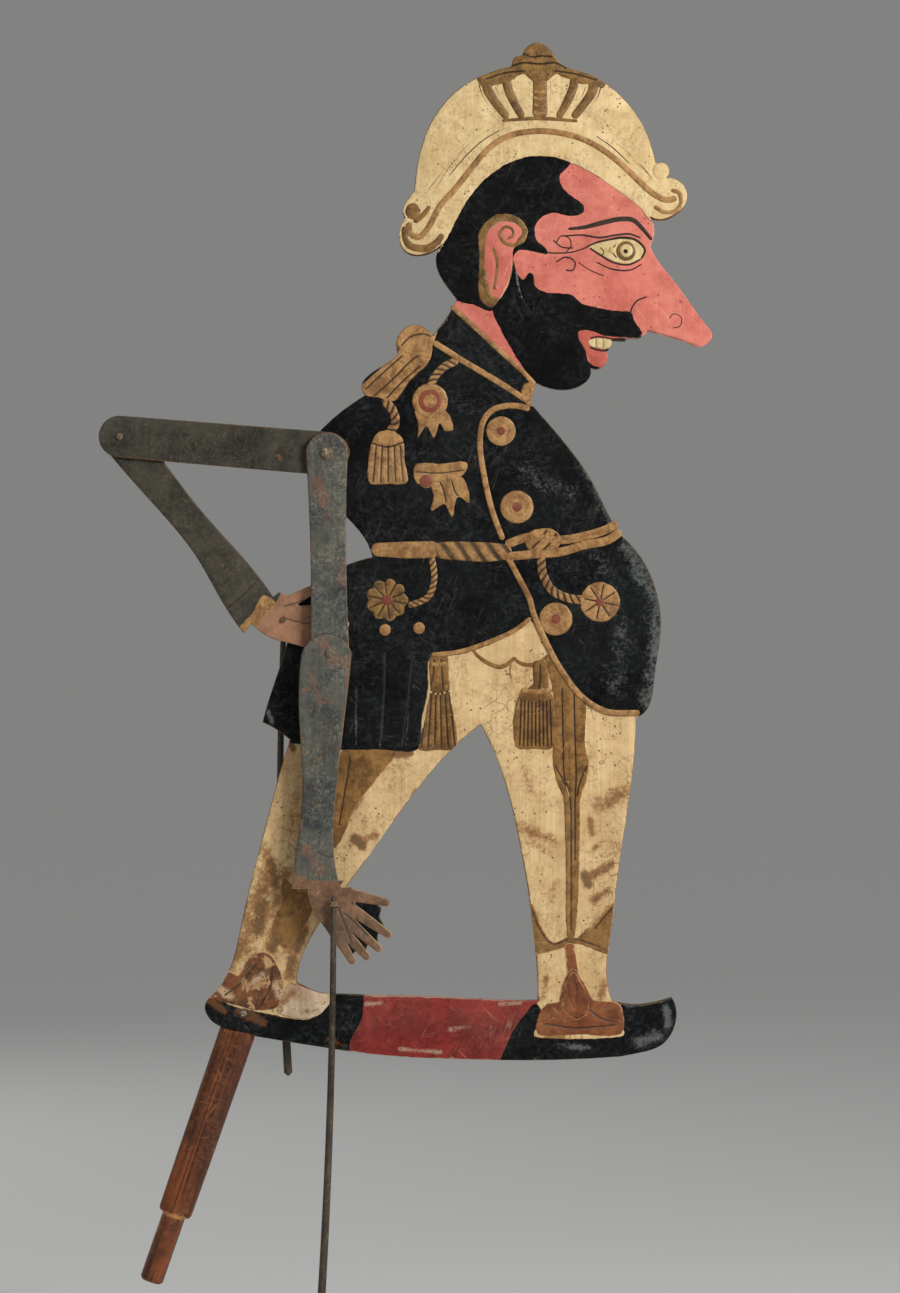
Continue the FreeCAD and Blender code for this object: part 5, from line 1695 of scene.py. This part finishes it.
@dataclass
class LeatherArm:
    """One arm: an upper strap, and a forearm that is one piece of leather with its hand."""

    side: str
    leather: Finish
    hand: Finish
    trim: Finish
    cuff: Line
    hand_area: Line
    sleeve_area: Line
    hand_cuts: tuple[Groove, ...]
    sleeve_cuts: tuple[Groove, ...]
    web: Line = ""
    marks: tuple[Mark, ...] = ()
    bevel: float = 0.7
    inset: float = 0.08
    spacing: float = 2.2
    edge_step: float = 1.2
    area_step: float = 1.0
    web_thin: float = 0.5
    hand_thin: float = 0.06
    cuff_thick: float = 0.015

    def build(self) -> None:
        """Builds the strap, sleeve, cuff and hand."""
        self.strap()
        self.forearm()

    def slab(self, node: str, area: Line = "", thin: float = 0.0,
             cuts: tuple[Groove, ...] = (), whole: bool = False) -> Shell:
        """Leather slab of a node.

        Args:
            node: Node of the frame that gives the outline and the thickness.
            area: Part that is kept, or nothing to keep it all.
            thin: How much thinner than the node it is, on each face.
            cuts: Cut lines.
            whole: True if the area itself is the outline, as with a web between fingers.

        Returns:
            The slab.
        """
        low, high = node_box(node)
        outline = Outline.of_node(node, self.edge_step).inset(self.inset)
        shape = Carving((high[1] - low[1]) / 2 - 0.02 - thin, bevel=self.bevel,
                        spacing=self.spacing)
        seeds, paths = spread(self.marks)
        if area:
            clip = None if whole else outline
            shell = carve(Outline.through(drawn(area), self.area_step), shape, clip, cuts, seeds)
        else:
            shell = carve(outline, shape, None, cuts, seeds)
        shell.values["stain"] = stain_and_sheen_strength(shell.points, paths)
        shell.points[:, 1] += (low[1] + high[1]) / 2
        return shell

    def strap(self) -> None:
        """The upper arm."""
        node = f"{self.side}_upper_arm"
        add_piece(f"{self.side}_upper_strap", [self.slab(node)], self.leather,
                  f"{self.side}_upper", (node,))

    def forearm(self) -> None:
        """Sleeve, painted web, hand and carved cuff band."""
        node, body = f"{self.side}_forearm", f"{self.side}_lower"
        sleeve = self.slab(node, self.sleeve_area, cuts=self.sleeve_cuts)
        add_piece(f"{self.side}_sleeve", [sleeve], self.leather, body, (node,))
        if self.web:
            web = self.slab(node, self.web, self.web_thin, whole=True)
            add_piece(f"{self.side}_palm_web", [web], BLACK, body)
        hand = self.slab(node, self.hand_area, self.hand_thin, self.hand_cuts)
        add_piece(f"{self.side}_hand", [hand], self.hand, body)
        cuff = self.slab(node, self.cuff, -self.cuff_thick)
        add_piece(f"{self.side}_cuff", [cuff], self.trim, body)


@dataclass
class ControlRod:
    """A horn rod, thicker at its low end, and the thread that ties it to a palm."""

    side: str
    bow: float
    lean: float
    bend: float
    length: float = 257.0
    above_tie: float = 5.0
    top_radius: float = 1.6
    low_radius: float = 2.4
    thread: float = 0.7
    turns: int = 3
    tie_reach: float = 3.15
    rings: int = 150
    smoothing: int = 11
    strand_start: float = 2.6
    strand_rings: int = 24
    knot_rings: int = 91
    knot_size: float = 0.46
    knot_depth: float = 0.72

    def build(self) -> None:
        """Builds the rod and its tie."""
        low, high = node_box(f"{self.side}_rod_tie")
        rod_low, rod_high = node_box(f"{self.side}_rod")
        tie = np.array([high[0] - self.tie_reach, (rod_low[1] + rod_high[1]) / 2,
                        (low[2] + high[2]) / 2])
        self.rod(tie)
        self.lashing(tie, low, high)

    def rod(self, tie: np.ndarray) -> None:
        """Rod along x = lean * s - 4 * bow * s (1 - s) + bend * s * s, s from 0 at its top to 1.

        Its radius grows evenly and wavers by a fiftieth of a millimetre, as a scraped rod does.
        """
        share = np.linspace(0, 1, self.rings)
        at_tie = self.above_tie / self.length

        def swing(s: np.ndarray | float) -> np.ndarray | float:
            """Sideways place at a share of the length."""
            return self.lean * s - 4 * self.bow * s * (1 - s) + self.bend * s * s

        path = np.column_stack([tie[0] + swing(share) - swing(at_tie),
                                np.full(self.rings, tie[1]),
                                tie[2] + self.above_tie - (self.length - 0.1) * share])
        random = np.random.default_rng(7)
        waver = random.normal(0, 1, self.rings + self.smoothing - 1)
        waver = np.convolve(waver, np.ones(self.smoothing) / self.smoothing, "valid") * 0.03
        radius = self.top_radius + (self.low_radius - self.top_radius) * share - 0.04
        normal = np.tile([0.0, -1.0, 0.0], (self.rings, 1))
        shell = wire(path, radius + np.minimum(waver, 0), normal, 20)
        add_piece(f"{self.side}_control_rod", [shell], ROD_HORN, f"{self.side}_control",
                  (f"{self.side}_rod",))

    def lashing(self, tie: np.ndarray, low: np.ndarray, high: np.ndarray) -> None:
        """Three thread turns round the rod, the strand through the palm and its knot.

        The turns are a helix x = r cos a, y = r sin a, z rising by one thread for each turn. The
        knot is the torus knot ((2 + cos 3a) cos 2a, (2 + cos 3a) sin 2a, sin 3a), made small.
        """
        x, y, z = tie
        radius = self.tie_reach - self.thread
        angle = np.linspace(0, WHOLE_TURN * self.turns, 40 * self.turns)
        outward = np.column_stack([np.cos(angle), np.sin(angle), np.zeros_like(angle)])
        coil = tie + radius * outward
        coil[:, 2] += (angle / angle[-1] - 0.5) * (high[2] - low[2] - 2 * self.thread)
        shells = [wire(coil, np.full(len(angle), self.thread * 0.96), outward, 12, lobes=3,
                       turn=2.4)]
        way = 1.0 if high[1] - y > y - low[1] else -1.0
        knot_end = high[1] if way > 0 else low[1]
        strand_y = np.linspace(y + way * self.strand_start, knot_end - way, self.strand_rings)
        strand = np.column_stack([np.full_like(strand_y, x), strand_y, np.full_like(strand_y, z)])
        side = np.tile([1.0, 0.0, 0.0], (self.strand_rings, 1))
        shells.append(wire(strand, np.full(self.strand_rings, 0.92), side, 12, lobes=3, turn=2.0))
        angle = np.linspace(0, WHOLE_TURN, self.knot_rings)
        bulge = 2 + np.cos(3 * angle)
        loop = np.column_stack([bulge * np.cos(2 * angle), np.sin(3 * angle) * 0.62,
                                bulge * np.sin(2 * angle)]) * self.knot_size
        loop += np.array([x, knot_end - way * self.knot_depth, z])
        out = loop - loop.mean(axis=0)
        shells.append(wire(loop, np.full(self.knot_rings, 0.42), out, 10, lobes=2, turn=3.0))
        add_piece(f"{self.side}_lashing", shells, THREAD, f"{self.side}_control",
                  (f"{self.side}_rod_tie",), crease=60)


@dataclass
class Grip:
    """The slanted wooden handle under the rear foot, and the round spigot below it."""

    length: float = 107.8
    lean: float = 19.1
    width: float = 19.6
    depth: float = 13.6
    spigot_radius: float = 6.5
    spigot_length: float = 38.9
    skin: float = 0.06
    end_chamfer: float = 1.4
    rings: int = 60
    corners: int = 72
    facet: float = 0.012
    seam_depth: float = 0.05
    seam_angle: float = 4.55
    heel_top: float = 113.0
    heel_columns: tuple[float, float] = (17.0, 76.0)
    heel_limits: tuple[float, float] = (113.5, 97.0)

    def build(self) -> None:
        """Handle of oval rings along the leaning axis, with flat worn facets and a long seam.

        At height h and angle a the ring's point is (w cos a, d sin a) times 1 - facet, where facet
        is a small cosine of seven times a, less a narrow bell curve at the seam. The top rings
        shear to lie under the heel.
        """
        lean = math.radians(self.lean)
        axis = np.array([math.sin(lean), 0, math.cos(lean)])
        across = np.array([math.cos(lean), 0, -math.sin(lean)])
        height = np.concatenate([[-self.spigot_length, -self.spigot_length + 1.5],
                                 np.linspace(-self.spigot_length + 3, -0.6, 14),
                                 [-0.1, 0.4, 1.2, 2.6], np.linspace(5, self.length, self.rings)])
        share = np.clip(height / self.length, 0, 1)
        wide = np.interp(share, [0, 0.35, 0.75, 1.0], [0.96, 1.0, 1.02, 1.04]) * self.width / 2
        spigot = height < 0
        edge = np.clip((height + 0.1) / 2.7, 0, 1)
        shoulder = np.sqrt(np.clip(1 - (1 - edge) ** 2, 0, 1))
        wide = np.where(spigot, self.spigot_radius, self.spigot_radius + (
            wide - self.spigot_radius) * np.clip(shoulder, 0.25, 1)) - self.skin
        deep = np.where(spigot, self.spigot_radius, self.spigot_radius + (
            self.depth / 2 - self.spigot_radius) * shoulder) - self.skin
        wide[0] -= self.end_chamfer
        deep[0] -= self.end_chamfer
        angle = turns_of(self.corners)
        flats = self.facet * (1 - np.cos(7 * angle[None] + 0.6))
        seam = np.exp(-((angle[None] - self.seam_angle) / 0.035) ** 2)
        groove = np.where(spigot[:, None], 0, seam)
        size = 1 - np.where(spigot[:, None], 0, flats) - self.seam_depth * groove
        x = wide[:, None] * np.cos(angle)[None] * size
        y = deep[:, None] * np.sin(angle)[None] * size
        rings = height[:, None, None] * axis + x[:, :, None] * across
        rings = rings + y[:, :, None] * np.array([0.0, 1.0, 0.0])
        top = self.heel_height(rings[-1, :, 0]) - 0.15
        reach = np.linspace(0, 1, self.rings)[:, None] ** 6
        limit = (top - rings[-1, :, 2]) / axis[2]
        rings[-self.rings:] += (reach * limit[None])[:, :, None] * axis
        ends = np.array([rings[0].mean(axis=0), rings[-1].mean(axis=0)])
        rim = np.repeat((np.cos(angle) ** 6)[None] * 0.4, len(height), axis=0)
        rim = np.maximum(rim, np.exp(-(height[:, None] / 2.0) ** 2) * 0.8)
        shell = close_rings(rings, ends, {"groove": groove, "rim": rim})
        add_piece("grip_handle", [shell], GRIP_WOOD, "puppet", ("grip",), crease=50)

    def heel_height(self, x: np.ndarray) -> np.ndarray:
        """Height of the board's underside above each x, read from its silhouette."""
        outline = Outline.of_node("body_board", 1.0)
        low = outline.points[outline.points[:, 1] < self.heel_top]
        low = low[np.argsort(low[:, 0])]
        under = low[low[:, 1] < np.interp(low[:, 0], self.heel_columns, self.heel_limits)]
        return np.interp(x, under[:, 0], under[:, 1])


NEAR_ARM = LeatherArm("near", NEAR_LEATHER, NEAR_HAND, NEAR_HAND,
    "286,868 312,878 340,880 341,890 312,889 284,879",
    "270,872 312,884 345,886 420,880 430,1000 280,1000",
    "270,600 380,600 346,870 341,884 312,884 270,874", (
        Groove("352,902 366,908 380,911", 0.5, 0.3), Groove("345,912 358,924 368,934", 0.5, 0.3),
        Groove("338,905 346,925 352,942", 0.5, 0.3)),
    (Groove("318,852 330,856 340,855", 0.5, 0.3),),
    "345,897 362,900 381,906 380,916 385,927 379,932 377,943 368,944 365,954 357,950 350,956 "
    "341,940 337,915", (Mark("322,642 336,660", 5.0, 0.62), Mark("312,676 320,700", 3.6, 0.55),
    Mark("346,660 350,690", 3.2, 0.62), Mark("318,480 330,520", 5.0, 0.5),
    Mark("340,560 348,590", 3.6, 0.5), Mark("308,850 320,868", 5.0, 0.55)))
FAR_ARM = LeatherArm("far", FAR_LEATHER, FAR_HAND, OCHRE,
    "264,594 276,602 262,622 248,638 238,630 252,612",
    "272,590 360,580 360,680 240,640 252,625 262,608",
    "80,400 160,400 282,592 266,612 252,632 236,640 180,600 80,460",
    (Groove("285,606 297,603 310,598", 0.5, 0.3), Groove("284,618 298,622 314,624", 0.5, 0.3)),
    (Groove("222,612 240,598 256,582", 0.5, 0.35),))


@dataclass
class Studio:
    """Pale floor under an even sky, soft lamps and the camera of the photograph."""

    floor: float = -0.12
    radius: float = 60.0
    floor_tone: tuple[float, float, float] = (0.72, 0.72, 0.71)
    sky_light: float = 0.31
    distance: float = 3.0
    board_face: float = -0.006
    aim: tuple[float, float, float] = (0.13, 0.0, 0.32)
    floor_corners: int = 96

    def build(self) -> None:
        """Builds the floor, the lamps and the camera."""
        self.backdrop()
        self.lamps()
        self.camera()

    def backdrop(self) -> None:
        """Round pale floor; the sky that shows the same pale tone behind the object is made with
        the lamps.

        The floor's under side is clear, so that the object can be looked at from below.
        """
        angle = turns_of(self.floor_corners)
        points = np.column_stack([self.radius * np.cos(angle), self.radius * np.sin(angle),
                                  np.full_like(angle, self.floor)])
        mesh = bpy.data.meshes.new("studio_floor")
        mesh.from_pydata(points.tolist(), [], [list(range(self.floor_corners))])
        floor = bpy.data.objects.new("studio_floor", mesh)
        bpy.context.scene.collection.objects.link(floor)
        material = bpy.data.materials.new("studio_paper")
        material.use_nodes = True
        g = Graph(material.node_tree)
        shader = material.node_tree.nodes["Principled BSDF"]
        shader.inputs["Base Color"].default_value = (*self.floor_tone, 1)
        shader.inputs["Roughness"].default_value = 1.0
        shader.inputs["Specular IOR Level"].default_value = 0.0
        clear = g.node("ShaderNodeBsdfTransparent")
        both = g.node("ShaderNodeMixShader")
        g.put(both.inputs[0], g.node("ShaderNodeNewGeometry").outputs["Backfacing"])
        g.put(both.inputs[1], shader.outputs[0])
        g.put(both.inputs[2], clear.outputs[0])
        g.put(material.node_tree.nodes["Material Output"].inputs["Surface"], both.outputs[0])
        mesh.materials.append(material)

    def lamp(self, name: str, place: tuple[float, float, float], size: float,
             power: float) -> None:
        """Square soft lamp that looks at the middle of the figure."""
        light = bpy.data.lights.new(name, "AREA")
        light.energy, light.size = power, size
        lamp = bpy.data.objects.new(name, light)
        lamp.location = place
        look = Vector(self.aim) - Vector(place)
        lamp.rotation_euler = look.to_track_quat("-Z", "Y").to_euler()
        bpy.context.scene.collection.objects.link(lamp)

    def lamps(self) -> None:
        """Main lamp from the upper right, weak ones from the left and the back, and an even sky.

        The sky lights the object evenly, and shows the camera the tone of the far floor.
        """
        self.lamp("main_lamp", (0.98, -0.88, 0.84), 0.42, 17.4)
        self.lamp("fill_lamp", (-1.8, -2.6, 1.0), 1.6, 6.0)
        self.lamp("back_lamp", (-1.5, 2.0, 1.1), 1.2, 12.0)
        world = bpy.data.worlds.new("studio_world")
        world.use_nodes = True
        g = Graph(world.node_tree)
        even = world.node_tree.nodes["Background"]
        even.inputs["Color"].default_value = (1, 1, 1, 1)
        even.inputs["Strength"].default_value = self.sky_light
        shown = g.node("ShaderNodeBackground")
        shown.inputs["Color"].default_value = (*self.floor_tone, 1)
        shown.inputs["Strength"].default_value = self.sky_light
        both = g.node("ShaderNodeMixShader")
        g.put(both.inputs[0], g.node("ShaderNodeLightPath").outputs["Is Camera Ray"])
        g.put(both.inputs[1], even.outputs[0])
        g.put(both.inputs[2], shown.outputs[0])
        g.put(world.node_tree.nodes["World Output"].inputs["Surface"], both.outputs[0])
        bpy.context.scene.world = world

    def camera(self) -> None:
        """Level camera straight in front of the board, framed as the drawing is."""
        width, height = DRAWING_WIDTH * DRAWING_UNIT, DRAWING_HEIGHT * DRAWING_UNIT
        x = width / 2 - DRAWING_LEFT * DRAWING_UNIT
        z = DRAWING_FOOT * DRAWING_UNIT - height / 2
        data = bpy.data.cameras.new("photo_camera")
        data.lens = data.sensor_width * self.distance / (height * METRE)
        data.clip_end = 200
        camera = bpy.data.objects.new("photo_camera", data)
        camera.location = (x * METRE, self.board_face - self.distance, z * METRE)
        camera.rotation_euler = (math.pi / 2, 0, 0)
        bpy.context.scene.collection.objects.link(camera)
        bpy.context.scene.camera = camera


def main() -> None:
    """Builds every sub-assembly and the studio."""
    logging.basicConfig(level=logging.INFO, format="%(message)s")
    bpy.context.scene.view_settings.view_transform = "Standard"
    assemblies = [CarvedBoard(), Grip(), NEAR_ARM, FAR_ARM, PegsAndRings(),
                  ControlRod("near", 0.0, 0.0, -9.0), ControlRod("far", 3.3, 2.2, 0.0)]
    for assembly in assemblies:
        assembly.build()
    Studio().build()


if __name__ == "__main__":
    main()
